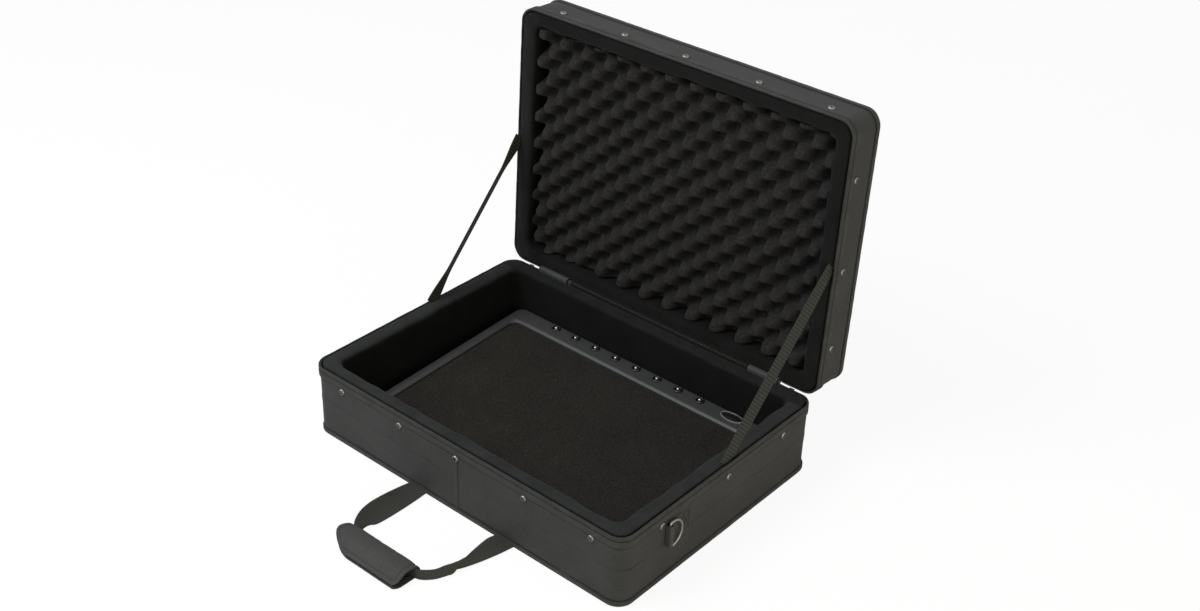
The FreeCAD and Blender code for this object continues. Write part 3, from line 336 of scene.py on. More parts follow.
# Edge binding: a polyester tape folded over the seam between wall and panel and sewn through.
# It stands a little proud and dull, with painted shade in its folds, and its thread shows as a fine broken line.
def set_out(name, pattern, places):
    """One mesh made of copies of a pattern's mesh, one at each matrix."""
    count = len(pattern.data.vertices)
    spots = np.array([(*vertex.co, 1) for vertex in pattern.data.vertices])
    corners = [tuple(face.vertices) for face in pattern.data.polygons]
    vertices = np.concatenate([(spots @ np.array(place).T)[:, :3] for place in places])
    faces = [tuple(corner + count * index for corner in face)
             for index in range(len(places)) for face in corners]
    mesh = bpy.data.meshes.new(name)
    mesh.from_pydata(vertices.tolist(), [], faces)
    piece = bpy.data.objects.new(name, mesh)
    bpy.context.scene.collection.objects.link(piece)
    bpy.data.objects.remove(pattern)
    return piece


def round_case(out, spacing, back=0):
    """Evenly spaced (place, outwards) round the outline, less the hinge where back is -1 or 1."""
    half_x, half_y, radius = WIDTH / 2 + out, DEPTH / 2 + out, CORNER + out
    path = []
    for turn, (centre_x, centre_y) in enumerate((
            (half_x - radius, half_y - radius), (radius - half_x, half_y - radius),
            (radius - half_x, radius - half_y), (half_x - radius, radius - half_y))):
        for step in range(13):
            angle = (turn + step / 12) * math.pi / 2
            path.append((centre_x + radius * math.cos(angle), centre_y + radius * math.sin(angle)))
    path = np.array(path + path[:1])
    lengths = np.concatenate([[0], np.cumsum(np.linalg.norm(np.diff(path, axis=0), axis=1))])
    found = []
    for at in np.arange(0, lengths[-1] - spacing / 2, lengths[-1] / round(lengths[-1] / spacing)):
        x, y = np.interp(at, lengths, path[:, 0]), np.interp(at, lengths, path[:, 1])
        index = min(np.searchsorted(lengths, at, side="right"), len(path) - 1)
        along = Vector((*(path[index] - path[index - 1]), 0)).normalized()
        if not (abs(x) < HINGE_END and y * back > DEPTH / 3):
            found.append((Vector((x, y, 0)), Vector((along.y, -along.x, 0))))
    return found


def one_stitch(size, edge):
    """A short thread of that size, rounded by a bevel."""
    thread = begin("thread_pattern", size, bpy.ops.mesh.primitive_cube_add)
    bpy.ops.mesh.bevel(offset=edge, segments=1)
    bpy.ops.object.mode_set(mode="OBJECT")
    return thread


def stitches(name, out, up, spacing=4.6, back=0, tall=0.9):
    """A row of threads round the case at that height, each as tall as given."""
    thread = one_stitch((0.7, spacing * 0.66, tall), 0.28)
    places = []
    for spot, outwards in round_case(out, spacing, back):
        turn = Matrix.Rotation(math.atan2(outwards.y, outwards.x), 4, "Z")
        places.append(Matrix.Translation(spot + Vector((0, 0, up))) @ turn)
    return set_out(name, thread, places)


tape = new_material("ribbed_polyester_tape")
place = add_node(tape, "TexCoord").outputs["Object"]
specks = grain(tape, place, 1.4, 3, 0.6)
patches = grain(tape, place, 25, 2)
mixed = add_node(tape, "Math", [(0, specks), (1, patches)], operation="MULTIPLY")
spread = add_node(tape, "MapRange", [(0, mixed.outputs[0]), (1, 0.12), (2, 0.42)])
flat_cloth = between(tape, spread.outputs[0], "#2c2c2b", "#3e3e3d")
# Painted shade: where the fold attribute is set, the tape turns near black.
fold = add_node(tape, "Attribute", attribute_name="fold").outputs["Fac"]
fold_shaded = add_node(tape, "Mix", [(0, fold), (6, flat_cloth), (7, linear("#0e0e0d"))], data_type="RGBA")
set_surface(tape, fold_shaded.outputs[2], 0.68, (specks, 0.4, 0.3),
            Specular_IOR_Level=0.25, Sheen_Weight=0.04, Sheen_Roughness=0.4)

thread_nylon = mottled("bonded_nylon_thread", "#4a4a48", "#66665f", (0.8, 1), 0.5, (0.3, 0.1),
                       Specular_IOR_Level=0.3)


def paint_fold_shade(piece, folds):
    """Marks the vertices that lie in a seam's fold, between two heights, where the tape's finish paints shade."""
    marks = piece.data.attributes.new("fold", "FLOAT", "POINT")
    for vertex in piece.data.vertices:
        marks.data[vertex.index].value = float(any(low <= vertex.co.z <= high for low, high in folds))


for half, height in (("base", BASE_HEIGHT), ("lid", LID_HEIGHT)):
    top = height - 0.6
    rows = [(0, top - 11), (0.5, top - 10.9), (0.4, top - 10.1), (0.5, top - 9.3), (1.2, top - 8.8),
            (1.6, top - 8.0), (1.5, top - 6), (1.35, top - 4.5), (1.6, top - 2.6), (1.3, top - 1.2),
            (0.7, top - 0.4), (0, top), (0.05, top - 4)]
    binding = band(f"{half}_edge_tape", rows, long_cuts=63)
    paint_fold_shade(binding, [(top - 10.95, top - 9.2)])
    pucker(binding, 0.35, 14, 2.7)
    smooth(binding, 60)
    settle(in_place(binding, half), tape, half, "binding_tape", f"{half}_edge_binding")
    seam = stitches(f"{half}_edge_stitches", 1.45, top - 4.5)
    settle(in_place(seam, half), thread_nylon, half, "binding_tape")


# Zip: a knitted tape with a nylon coil sewn to it, closed in behind a stitched hem.
# The coil is moulded monofilament with the soft shine of bare nylon, and the hem's raised overlock
# stitches catch the light.
COIL_OUT, COIL_UP, COIL_PITCH = -1.7, 4.2, 1.9
knit = new_material("knitted_zip_tape")
place = add_node(knit, "TexCoord").outputs["Object"]
loops = add_node(knit, "TexVoronoi", [("Vector", place), ("Scale", 1 / (1.3 * MM))]).outputs["Distance"]
set_surface(knit, between(knit, loops, "#242424", "#101010"), 0.85, (loops, 0.5, 0.3), Specular_IOR_Level=0.2)

coil_nylon = mottled("moulded_nylon_monofilament", "#1b1b1a", "#2b2b29", (6, 1), 0.42, (0.1, 0.1),
                     Specular_IOR_Level=0.4)
overlock = mottled("overlocked_polyester_yarn", "#353533", "#474743", (1.1, 3), 0.65, (0.4, 0.2),
                   Specular_IOR_Level=0.25)

for half, height, back in (("base", BASE_HEIGHT, -1), ("lid", LID_HEIGHT, 1)):
    hem = open_band(f"{half}_stitched_hem", [
        (-1.2, 22.8), (0.2, 22.8), (0.25, 22), (0.35, 21.3), (1.0, 20.8), (1.25, 19.8), (1.25, 15.5),
        (1.25, 11.6), (1.0, 10.6), (0.4, 10.2), (0.3, 9.5), (0.4, 8.8), (0.85, 8.4), (1.0, 7.6), (0.95, 5.6),
        (0.9, 3.6), (0.6, 2.7), (0, 2.3), (-0.6, 2.5), (-0.8, 3.4), (-1.2, 5)], back, long_cuts=63)
    # Painted shade: two dark lines along the hem's upper and middle folds.
    paint_fold_shade(hem, [(21.2, 22.9), (8.7, 10.3)])
    pucker(hem, 0.45, 16, 5.9)
    smooth(hem, 60)
    settle(in_place(hem, half), tape, half, "binding_tape", f"{half}_hem")
    seam = stitches(f"{half}_overlock_stitches", 1.15, 15.6, 3.0, back, tall=7.8)
    settle(in_place(seam, half), overlock, half, "binding_tape")
    tape_band = open_band(f"{half}_tape_band", [(-1.6, 5), (-1.5, 13.4), (-2.6, 13.4), (-2.6, 5)], back)
    settle(in_place(tape_band, half), knit, half, "zip_tape", f"{half}_zip_tape")

    deselect()
    bpy.ops.mesh.primitive_cylinder_add(vertices=6, radius=0.75, depth=1.5, rotation=(0, math.pi / 2, 0))
    tooth = bpy.context.object
    bpy.ops.object.mode_set(mode="EDIT")
    choose(tooth, "verts", lambda vertex: vertex.co.z > 0)
    bpy.ops.transform.resize(value=(1, 1, 0.72))
    bpy.ops.mesh.select_all(action="SELECT")
    bpy.ops.mesh.bevel(offset=0.12, segments=1)
    bpy.ops.object.mode_set(mode="OBJECT")
    take(tooth)
    bpy.ops.object.transform_apply(location=False)
    places = []
    for spot, outwards in round_case(COIL_OUT, COIL_PITCH, back):
        turn = Matrix.Rotation(math.atan2(outwards.y, outwards.x), 4, "Z")
        places.append(Matrix.Translation(spot + Vector((0, 0, COIL_UP))) @ turn
                      @ Matrix.Diagonal((1, 1, 1.6, 1)))
    coil = set_out(f"{half}_coil_teeth", tooth, places)
    settle(in_place(coil, half), coil_nylon, half, "zip_coil", f"{half}_zip_coil")


# Padded walls: foam bonded to the frame under black brushed plush, turned over the rim in a roll.
# The pile soaks up light; the roll's crown is painted grey as painted light where it turns up to the lamps, less
# at the base's back rim as painted shadow of the lid, and less on the lid.
plush = new_material("brushed_nylon_plush")
place = add_node(plush, "TexCoord").outputs["Object"]
pile = grain(plush, place, 1.6, 4, 0.7)
rubbed = grain(plush, place, 45, 3, 0.6)
shade = add_node(plush, "Math", [(0, pile), (1, rubbed)], operation="MULTIPLY")
spread = add_node(plush, "MapRange", [(0, shade.outputs[0]), (1, 0.12), (2, 0.42)])
plain_pile = between(plush, spread.outputs[0], "#080808", "#131313")
# Painted light: a lighter copy of the pile, mixed in on the roll's crown by a per-vertex attribute.
lit_pile = between(plush, spread.outputs[0], "#262828", "#373939")
rim_light = add_node(plush, "Attribute", attribute_name="rim_light").outputs["Fac"]
pile_with_rim_light = add_node(plush, "Mix", [(0, rim_light), (6, plain_pile), (7, lit_pile)], data_type="RGBA")
set_surface(plush, pile_with_rim_light.outputs[2], 0.95, (pile, 0.6, 0.5), Specular_IOR_Level=0.12, Sheen_Weight=0.04,
            Sheen_Roughness=0.45)
WALL_OUT, INNER_X, INNER_Y = -6.4, 292, 203
CORNER_OUT, CORNER_IN = 19.6, 16

for half, height in (("base", BASE_HEIGHT), ("lid", LID_HEIGHT)):
    foot = height - 6.4
    section = [(0, foot), (0, 6.5), (-0.04, 5.4), (-0.06, 3.6), (-0.04, 1.9), (0.04, 0.95), (0.2, 0.45),
               (0.4, 0.4), (0.6, 0.6), (0.78, 1.3), (0.93, 2.9), (1.03, 5.4), (1.06, 8.5), (1.04, 13), (1.01, 19)]
    section += [(1, 19 + (foot - 19) * step / 8) for step in range(1, 9)]
    padding = outline(f"{half}_padded_wall", WALL_OUT, foot, long_cuts=47)
    bpy.ops.object.mode_set(mode="OBJECT")
    outer = np.array([vertex.co.xy for vertex in padding.data.vertices])
    bpy.ops.object.mode_set(mode="EDIT")
    for share, up in section[1:]:
        bpy.ops.mesh.extrude_edges_move(TRANSFORM_OT_translate={"value": (0, 0, 0)})
    bpy.ops.object.mode_set(mode="OBJECT")
    # Every row lies a share of the way from the outer line to an inner one with its own corners.
    inner = []
    for spot in outer:
        moved = []
        for value, size, inside in zip(spot, (WIDTH, DEPTH), (INNER_X, INNER_Y)):
            limit_out, limit_in = size / 2 + WALL_OUT - CORNER_OUT, inside - CORNER_IN
            beyond = abs(value) - limit_out
            if beyond > 0:
                moved.append(math.copysign(limit_in + beyond * CORNER_IN / CORNER_OUT, value))
            else:
                moved.append(value * limit_in / limit_out)
        inner.append(moved)
    inner = np.array(inner)
    for row, (share, up) in enumerate(section):
        for index in range(len(outer)):
            x, y = outer[index] * (1 - share) + inner[index] * share
            padding.data.vertices[row * len(outer) + index].co = (x, y, up)
    bpy.ops.object.mode_set(mode="EDIT")
    choose(padding, "edges", lambda edge: edge.is_boundary)
    bpy.ops.mesh.bridge_edge_loops()
    closed(padding)
    pucker(padding, 1.2, 55, 1.7, lambda co: (
        1 if 3 < co.z < foot - 6 and abs(co.x) < 300 and abs(co.y) < 212 else 0.12))
    pucker(padding, 2.2, 26, 4.4, lambda co: 1 if 1 < co.z < 14 and abs(co.x) < 304 and abs(co.y) < 215 else 0)
    smooth(padding, 60)
    # Painted light share: 1 on the roll's crown, fading out between 3 and 9 mm down; 0.4 at the base's back,
    # painted shadow under the lid; 0.35 at the lid's left side and 0.12 over the rest of the lid.
    rim_light_share = padding.data.attributes.new("rim_light", "FLOAT", "POINT")
    for vertex in padding.data.vertices:
        rim_light_share.data[vertex.index].value = min(1, max(0, (9 - vertex.co.z) / 6)) * (
            (0.4 if vertex.co.y < -196 else 1) if half == "base" else 0.35 if vertex.co.x < -285 else 0.12)
    settle(in_place(padding, half), plush, half, "plush", f"{half}_liner")


# Floor padding: the same plush over foam, laid on the bottom panel under the pedal board.
# It shows only in the narrow gap round the board.
PAD_WIDTH, PAD_DEPTH, PAD_UNDER, PAD_TOP = 583.4, 405.4, 6.5, 18.3
floor_pad = outline("base_floor_padding", -1.5, PAD_TOP, PAD_WIDTH, PAD_DEPTH, corner=15.7)
grow([(-1.5, PAD_TOP), (0, PAD_TOP - 1.5), (0, PAD_UNDER)], PAD_WIDTH, PAD_DEPTH)
bpy.ops.mesh.select_all(action="SELECT")
bpy.ops.mesh.fill_holes(sides=0)
closed(floor_pad)
smooth(floor_pad)
settle(in_place(floor_pad), plush, "base", "plush", "base_floor_pad")


# Convoluted foam: open cell polyurethane, cut by rollers into peaks and pits, glued to the lid's panel.
# It is cut to size through its peaks; the cells make it dull and grainy.
FOAM_STEP, FOAM_TURN = 24.3, math.radians(-2.7)
FOAM_X, FOAM_Y, FOAM_BACK, FOAM_PIT, FOAM_TIP = 288, 199, 66.6, 36.5, 7.2

cells = new_material("open_cell_polyurethane")
place = add_node(cells, "TexCoord").outputs["Object"]
fine = grain(cells, place, 1.5, 4, 0.75)
coarse = grain(cells, place, 5, 3, 0.6)
shade = add_node(cells, "Math", [(0, fine), (1, coarse)], operation="MULTIPLY")
spread = add_node(cells, "MapRange", [(0, shade.outputs[0]), (1, 0.12), (2, 0.42)])
set_surface(cells, between(cells, spread.outputs[0], "#1d1c1c", "#383736"), 0.95, (fine, 0.7, 0.6),
            Specular_IOR_Level=0.1, Sheen_Weight=0.03, Sheen_Roughness=0.6)

foam = begin("lid_foam_sheet", (2 * FOAM_X, 2 * FOAM_Y, 1), bpy.ops.mesh.primitive_grid_add,
             x_subdivisions=240, y_subdivisions=166)
choose(foam, "edges", lambda edge: edge.is_boundary)
bpy.ops.mesh.extrude_edges_move(TRANSFORM_OT_translate={"value": (0, 0, FOAM_BACK)})
bpy.ops.mesh.fill()
bpy.ops.object.mode_set(mode="OBJECT")
for vertex in foam.data.vertices:
    x, y, back = vertex.co
    if back > FOAM_BACK / 2:
        continue
    # The sheet is glued in by hand: its rows bow a little, more towards either side.
    stretch, slump = 1.1e-4 * (x + 50) ** 2 - 2, 1.56e-4 * (x + 90) ** 2 - 4.5
    run, rise = x - 23.3 - stretch, y + 2.5 + slump
    column = (run * math.cos(FOAM_TURN) - rise * math.sin(FOAM_TURN)) / FOAM_STEP
    row = (run * math.sin(FOAM_TURN) + rise * math.cos(FOAM_TURN)) / FOAM_STEP
    wave = math.sin(math.pi / 2 * math.cos(math.pi * column) * math.cos(math.pi * row))
    share = 0.5 + 0.5 * math.sin(math.pi / 2 * (0.6 * wave + 0.4 * abs(wave) * wave))
    grainy = noise.noise(Vector((x, y, 0)) / 9) * 0.5
    vertex.co.z = FOAM_PIT + (FOAM_TIP - FOAM_PIT) * share + grainy
bpy.ops.object.mode_set(mode="EDIT")
closed(foam)
smooth(foam, 60)
settle(in_place(foam, "lid"), cells, "lid", "foam", "lid_foam")


# Cloth hinge: a strip of the outer cloth sewn to both halves, with soft strips in its crease.
# The middle strip is stitched tape, and a smooth coated piping shows at either end.
piping = mottled("smooth_vinyl_piping", "#3e4142", "#505354", (9, 3), 0.5, (0.15, 0.3), Specular_IOR_Level=0.3)
dark_tape = mottled("black_herringbone_tape", "#0d0d0d", "#1d1d1c", (1.6, 3, 0.6), 0.75, (0.5, 0.3),
                    Specular_IOR_Level=0.15)


def crease(name, inset, thickness, leaf, start, stop, cuts, wave=0.0):
    """A strip that follows the base's back wall up to the split, and then the lid's."""
    middle = inset + thickness / 2
    sine, cosine = math.sin(OPEN_ANGLE), math.cos(OPEN_ANGLE)
    half_tan = math.tan(OPEN_ANGLE / 2)
    hinge = Vector((0, DEPTH / 2, BASE_HEIGHT))
    spots = []
    for share in (1, 0.8, 0.6, 0.4, 0.25, 0.1):
        spots.append(hinge + Vector((0, -middle, -leaf * share + middle * half_tan * (1 - share))))
    spots.append(hinge + Vector((0, -middle, middle * half_tan)))
    for share in (0.1, 0.25, 0.4, 0.6, 0.8, 1):
        reach = middle * half_tan * (1 - share) + leaf * share
        spots.append(hinge + Vector((0, reach * sine - middle * cosine, reach * cosine + middle * sine)))
    last = len(spots) - 1
    spots = [Vector((0, *np.mean([spots[at - 1][1:], spots[at][1:], spots[at + 1][1:]], axis=0)))
             if 0 < at < last else spots[at] for at in range(last + 1)]
    deselect()
    bpy.ops.mesh.primitive_grid_add(x_subdivisions=cuts, y_subdivisions=last, size=1)
    piece = bpy.context.object
    piece.name = piece.data.name = name
    for vertex in piece.data.vertices:
        share, row = vertex.co.x + 0.5, round((vertex.co.y + 0.5) * last)
        ripple = wave * math.sin(share * (stop - start) / 2.2) if 3 < row < 9 else 0
        along = Vector((start + (stop - start) * share, 0, 0))
        vertex.co = along + spots[row] + Vector((0, ripple * 0.7, -ripple * 0.7))
    modify(piece, "SOLIDIFY", thickness=thickness, offset=0, use_even_offset=True)
    modify(piece, "BEVEL", width=min(0.5, thickness / 3), segments=2, limit_method="ANGLE")
    smooth(piece, 60)
    return piece


STITCH_PITCH, STITCHES, FIRST_STITCH = 5.2, 70, Vector((-178, 223.4, 132.7))
for shape, finish, slot, node in (
        (("hinge_skin", 0, 1.4, 13.4, -255.6, 255.6, 80), nylon, "nylon_cloth", "hinge_cloth"),
        (("hinge_stitched_strip", 1.8, 3.4, 8.8, -181, 193, 240, 0.25), dark_tape, "binding_tape",
         "hinge_crease_strip"),
        (("hinge_piping_left", 1.8, 3.0, 5.6, -254, -191, 24), piping, "smooth_piping",
         "hinge_end_strip_left"),
        (("hinge_piping_right", 1.8, 3.0, 5.6, 194, 250, 24), piping, "smooth_piping",
         "hinge_end_strip_right")):
    strip = in_place(crease(*shape))
    strip.data.materials.append(finish)
    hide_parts(node)
    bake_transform(strip)

dots = set_out("hinge_strip_stitches", one_stitch((1.9, 0.7, 0.7), 0.2), [
    Matrix.Translation(FIRST_STITCH + Vector((STITCH_PITCH * number, 0, 0)))
    @ Matrix.Rotation(OPEN_ANGLE / 2, 4, "X") for number in range(STITCHES)])
in_place(dots)
dots.data.materials.append(thread_nylon)
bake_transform(dots)


# Screws: blackened pan heads with a cross recess, through the cloth into the wall frame.
# On the crown and at the recess's edges the black oxide is worn to bare steel, painted near white, which is
# partly wear and partly a painted highlight.
HEAD_SIDES, HEAD_RADIUS, HEAD_HEIGHT, RECESS = 24, 5.4, 3, 1.9
SCREW_ROW = 26


def driven_screw():
    deselect()
    bpy.ops.mesh.primitive_cylinder_add(vertices=HEAD_SIDES, radius=HEAD_RADIUS, depth=HEAD_HEIGHT,
                                        location=(0, 0, HEAD_HEIGHT / 2))
    screw = bpy.context.object
    take(screw)
    bpy.ops.object.transform_apply()
    bpy.ops.object.mode_set(mode="EDIT")
    choose(screw, "faces", lambda face: face.normal.z > 0.9)
    for inset in (0.6, 1.1, 1.2):
        bpy.ops.mesh.inset(thickness=inset)
    choose(screw, "verts", lambda vertex: vertex.co.z > 2.6 and vertex.co.xy.length > 5.3)
    bpy.ops.transform.translate(value=(0, 0, -1.6))
    choose(screw, "verts", lambda vertex: vertex.co.z > 2.6 and vertex.co.xy.length > 4.6)
    bpy.ops.transform.translate(value=(0, 0, -0.6))
    choose(screw, "faces", lambda face: face.normal.z > 0.95 and face.calc_center_median().xy.length < 0.5)
    bpy.ops.mesh.delete(type="ONLY_FACE")
    choose(screw, "edges", lambda edge: edge.is_boundary)
    bpy.ops.mesh.extrude_edges_move(TRANSFORM_OT_translate={"value": (0, 0, 0)})
    bpy.ops.object.mode_set(mode="OBJECT")
    # The new ring on the crown is drawn out into a cross, and then sunk as the recess.
    for vertex in list(screw.data.vertices)[-HEAD_SIDES:]:
        angle = math.atan2(vertex.co.y, vertex.co.x)
        arm = max(abs(math.cos(angle)), abs(math.sin(angle))) ** 14
        reach = 0.85 + 1.75 * arm
        vertex.co = (reach * math.cos(angle), reach * math.sin(angle), HEAD_HEIGHT)
    bpy.ops.object.mode_set(mode="EDIT")
    choose(screw, "edges", lambda edge: edge.is_boundary)
    bpy.ops.mesh.extrude_edges_move(TRANSFORM_OT_translate={"value": (0, 0, -RECESS)})
    bpy.ops.transform.resize(value=(0.6, 0.6, 1), center_override=(0, 0, 0))
    bpy.ops.mesh.edge_face_add()
    closed(screw)
    return screw


oxide = new_material("blackened_steel")
place = add_node(oxide, "TexCoord").outputs["Object"]
worn = grain(oxide, place, 3, 4, 0.7)
# Sharp edges, found by pointiness, take the near white colour: worn steel and a painted highlight.
edges = add_node(oxide, "NewGeometry").outputs["Pointiness"]
edge_glint = add_node(oxide, "MapRange", [(0, edges), (1, 0.515), (2, 0.58)])
wear_and_glint = add_node(oxide, "Math", [(0, edge_glint.outputs[0]), (1, worn)], operation="MULTIPLY")
set_surface(oxide, between(oxide, wear_and_glint.outputs[0], "#101010", "#dedcd6"), 0.34, (worn, 0.15, 0.1),
            Metallic=0.85)

SCREW_X = (-0.394, -0.192, -0.003, 0.212, 0.412)
for half, side_places in (("base", (0.311, -0.025, -0.324)), ("lid", (-0.294, 0.034, 0.327))):
    places = []
    spots = [(WIDTH * share, sign * DEPTH / 2, sign * 90) for share in SCREW_X for sign in (-1, 1)]
    spots += [(sign * WIDTH / 2, DEPTH * share, 90 - sign * 90) for share in side_places for sign in (-1, 1)]
    for number, (x, y, facing) in enumerate(spots):
        roll = Matrix.Rotation(number * 1.3, 4, "Z")
        places.append(Matrix.Translation((x, y, SCREW_ROW)) @ Matrix.Rotation(math.radians(facing), 4, "Z")
                      @ Matrix.Rotation(math.pi / 2, 4, "Y") @ roll)
    heads = set_out(f"{half}_pan_heads", driven_screw(), places)
    smooth(heads, 35)
    settle(in_place(heads, half), oxide, half, "blackened_steel", f"{half}_screws")


# Webbing: a flat ribbed polypropylene strap, woven with the ribs across it, its rib tops painted lighter and its
# grooves darker as painted light and shade.
# The stay straps are sewn in behind both rims, and each turns a little about its length where it runs free.
def smooth_path(points, count):
    """Evenly spaced points on a smooth line through the given ones."""
    points = [np.array(point, float) for point in points]
    ends = [2 * points[0] - points[1]] + points + [2 * points[-1] - points[-2]]
    dense = []
    for index in range(1, len(ends) - 2):
        p0, p1, p2, p3 = ends[index - 1:index + 3]
        for t in np.linspace(0, 1, 24, endpoint=False):
            dense.append(0.5 * (2 * p1 + (p2 - p0) * t + (2 * p0 - 5 * p1 + 4 * p2 - p3) * t * t
                                + (3 * p1 - p0 - 3 * p2 + p3) * t ** 3))
    dense = np.array(dense + [points[-1]])
    lengths = np.concatenate([[0], np.cumsum(np.linalg.norm(np.diff(dense[:, :3], axis=0), axis=1))])
    wanted = np.linspace(0, lengths[-1], count)
    return np.array([[np.interp(at, lengths, dense[:, axis]) for axis in range(dense.shape[1])]
                     for at in wanted])


def across_rows(path, across, width, columns=8):
    """Rows of points for a flat strap along a path; across is its width's direction at each point."""
    return [[np.array(spot) + np.array(Vector(way).normalized()) * width * (column / columns - 0.5)
             for column in range(columns + 1)] for spot, way in zip(path, across)]


def webbing(name, rows, thickness):
    """A strap through rows of points, each row across its width, unwrapped in metres."""
    rows = np.array(rows)
    count, columns = rows.shape[0] - 1, rows.shape[1] - 1
    deselect()
    bpy.ops.mesh.primitive_grid_add(x_subdivisions=count, y_subdivisions=columns, size=1)
    piece = bpy.context.object
    piece.name = piece.data.name = name
    for vertex in piece.data.vertices:
        vertex.co = rows[round((vertex.co.x + 0.5) * count), round((vertex.co.y + 0.5) * columns)]
    length = np.linalg.norm(np.diff(rows[:, columns // 2], axis=0), axis=1).sum()
    width = np.linalg.norm(np.diff(rows[0], axis=0), axis=1).sum()
    for corner in piece.data.uv_layers.active.data:
        corner.uv = (corner.uv[0] * length * MM, corner.uv[1] * width * MM)
    modify(piece, "SOLIDIFY", thickness=thickness, offset=0)
    modify(piece, "BEVEL", width=thickness * 0.3, segments=2, limit_method="ANGLE",
           angle_limit=math.radians(50))
    smooth(piece, 50)
    return piece


def ribbed(name, dark, light, rib, depth):
    """Webbing's finish: ribs across it at that spacing in mm, from its own unwrapped length, with painted light
    on the rib tops and painted shade in the grooves.
    """
    material = new_material(name)
    flat = add_node(material, "TexCoord").outputs["UV"]
    place = add_node(material, "TexCoord").outputs["Object"]
    axes = add_node(material, "SeparateXYZ", [(0, flat)])
    angle = add_node(material, "Math", [(0, axes.outputs["X"]), (1, 2 * math.pi / (rib * MM))],
                     operation="MULTIPLY")
    ribs = add_node(material, "Math", [(0, angle.outputs[0])], operation="SINE")
    yarn = grain(material, place, 1.2, 3, 0.6)
    relief = add_node(material, "Math", [(0, ribs.outputs[0]), (1, 0.5), (2, yarn)], operation="MULTIPLY_ADD")
    # Painted light and shade: the rib relief also sets the colour, lighter on the tops and darker in the grooves.
    shade = add_node(material, "MapRange", [(0, relief.outputs[0]), (1, -0.1), (2, 1.1)])
    set_surface(material, between(material, shade.outputs[0], dark, light), 0.7,
                (relief.outputs[0], 0.7, depth), Specular_IOR_Level=0.25, Sheen_Weight=0.04, Sheen_Roughness=0.4)
    return material


strap_ribs = ribbed("ribbed_polypropylene_webbing", "#1c1c1a", "#3c3d38", 5.4, 0.7)
STRAP_WIDTH, STRAP_THICKNESS, STRAP_X = 25, 1.6, 314.7
for side, seat, lean in ((1, 5, 7), (-1, 25, 26)):
    word = "right" if side > 0 else "left"
    low = np.array((side * STRAP_X, seat, 124.5))
    high = np.array((side * STRAP_X, 241.5, 356))
    run = (high - low) / np.linalg.norm(high - low)
    flat_side = np.array((0, -run[2], run[1]))
    count = 120
    path, across = [], []
    for step in range(count + 1):
        share = step / count
        twist = min(1, min(share, 1 - share) / 0.22)
        twist = twist * twist * (3 - 2 * twist)
        turn = math.radians(90 - lean * twist)
        path.append(low + (high - low) * share)
        across.append(np.array((-side * math.cos(turn), 0, 0)) + flat_side * math.sin(turn))
    strap = in_place(webbing(f"{word}_stay_webbing", across_rows(path, across, STRAP_WIDTH), STRAP_THICKNESS))
    strap.data.materials.append(strap_ribs)
    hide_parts(f"{word}_stay_strap")
    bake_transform(strap)


# Carrying handle: 38 mm webbing sewn into the front seam, so that it flops onto the floor.
# Each arm lies flat by the seam and is folded in half lengthwise where it goes into the grip.
soft_ribs = ribbed("soft_woven_webbing", "#2f2f2e", "#424240", 2.6, 0.35)
FLOOR_CLEAR = 1.35
# Each arm's stations: the outer edge, the crown and the inner edge of the webbing.
ARMS = {
    "left": [
        ((-104.5, -229.8, 3.2), (-86, -229.8, 3.4), (-67.5, -229.8, 2.4)),
        ((-103.5, -257, 9), (-85.5, -257, 4.6), (-67, -256, 1.5)),
        ((-98.5, -289, 18), (-83.5, -287.5, 7.5), (-66.5, -286, 1.5)),
        ((-95.5, -318, 22), (-83, -314, 9), (-67.2, -312, 1.5)),
        ((-90.5, -342, 22), (-79.5, -334, 9), (-68.8, -330, 2)),
        ((-80.5, -362, 19), (-74, -352, 11), (-74, -346, 4.5)),
        ((-66, -371, 17.5), (-66, -370, 10), (-68, -369, 3.2)),
        ((-44, -371, 17.5), (-44, -370, 10), (-44, -369, 3.2)),
        ((-14, -371, 17.5), (-14, -370, 10), (-14, -369, 3.2))],
    "right": [
        ((79.5, -229.8, 3.2), (98, -229.8, 3.6), (116.5, -229.8, 2.2)),
        ((77.8, -243.5, 4.6), (97, -243.5, 8), (113.4, -246, 1.5)),
        ((78, -257, 3.4), (92, -257, 12.5), (109.8, -263, 1.5)),
        ((82, -283, 2), (92.4, -286, 16.5), (104, -284, 1.5)),
        ((85.5, -306, 1.6), (94.3, -306.6, 18), (95.8, -307, 1.5)),
        ((92, -329, 1.4), (90.8, -325.7, 18), (88, -323.4, 1.6)),
        ((90, -337, 1.5), (86.2, -337.4, 18), (84.5, -336, 1.6)),
        ((82.5, -354, 1.5), (81.2, -353.2, 18), (79, -351.6, 1.6)),
        ((71.6, -367, 1.7), (71.2, -364.8, 18), (69.6, -363.2, 1.8)),
        ((61, -373.4, 3), (60.4, -371, 18), (59.4, -369.2, 3.2)),
        ((38, -374.4, 3.2), (38, -372, 17.5), (38, -369.6, 3.2)),
        ((-12, -374.4, 3.2), (-12, -372, 17.5), (-12, -369.6, 3.2))],
}
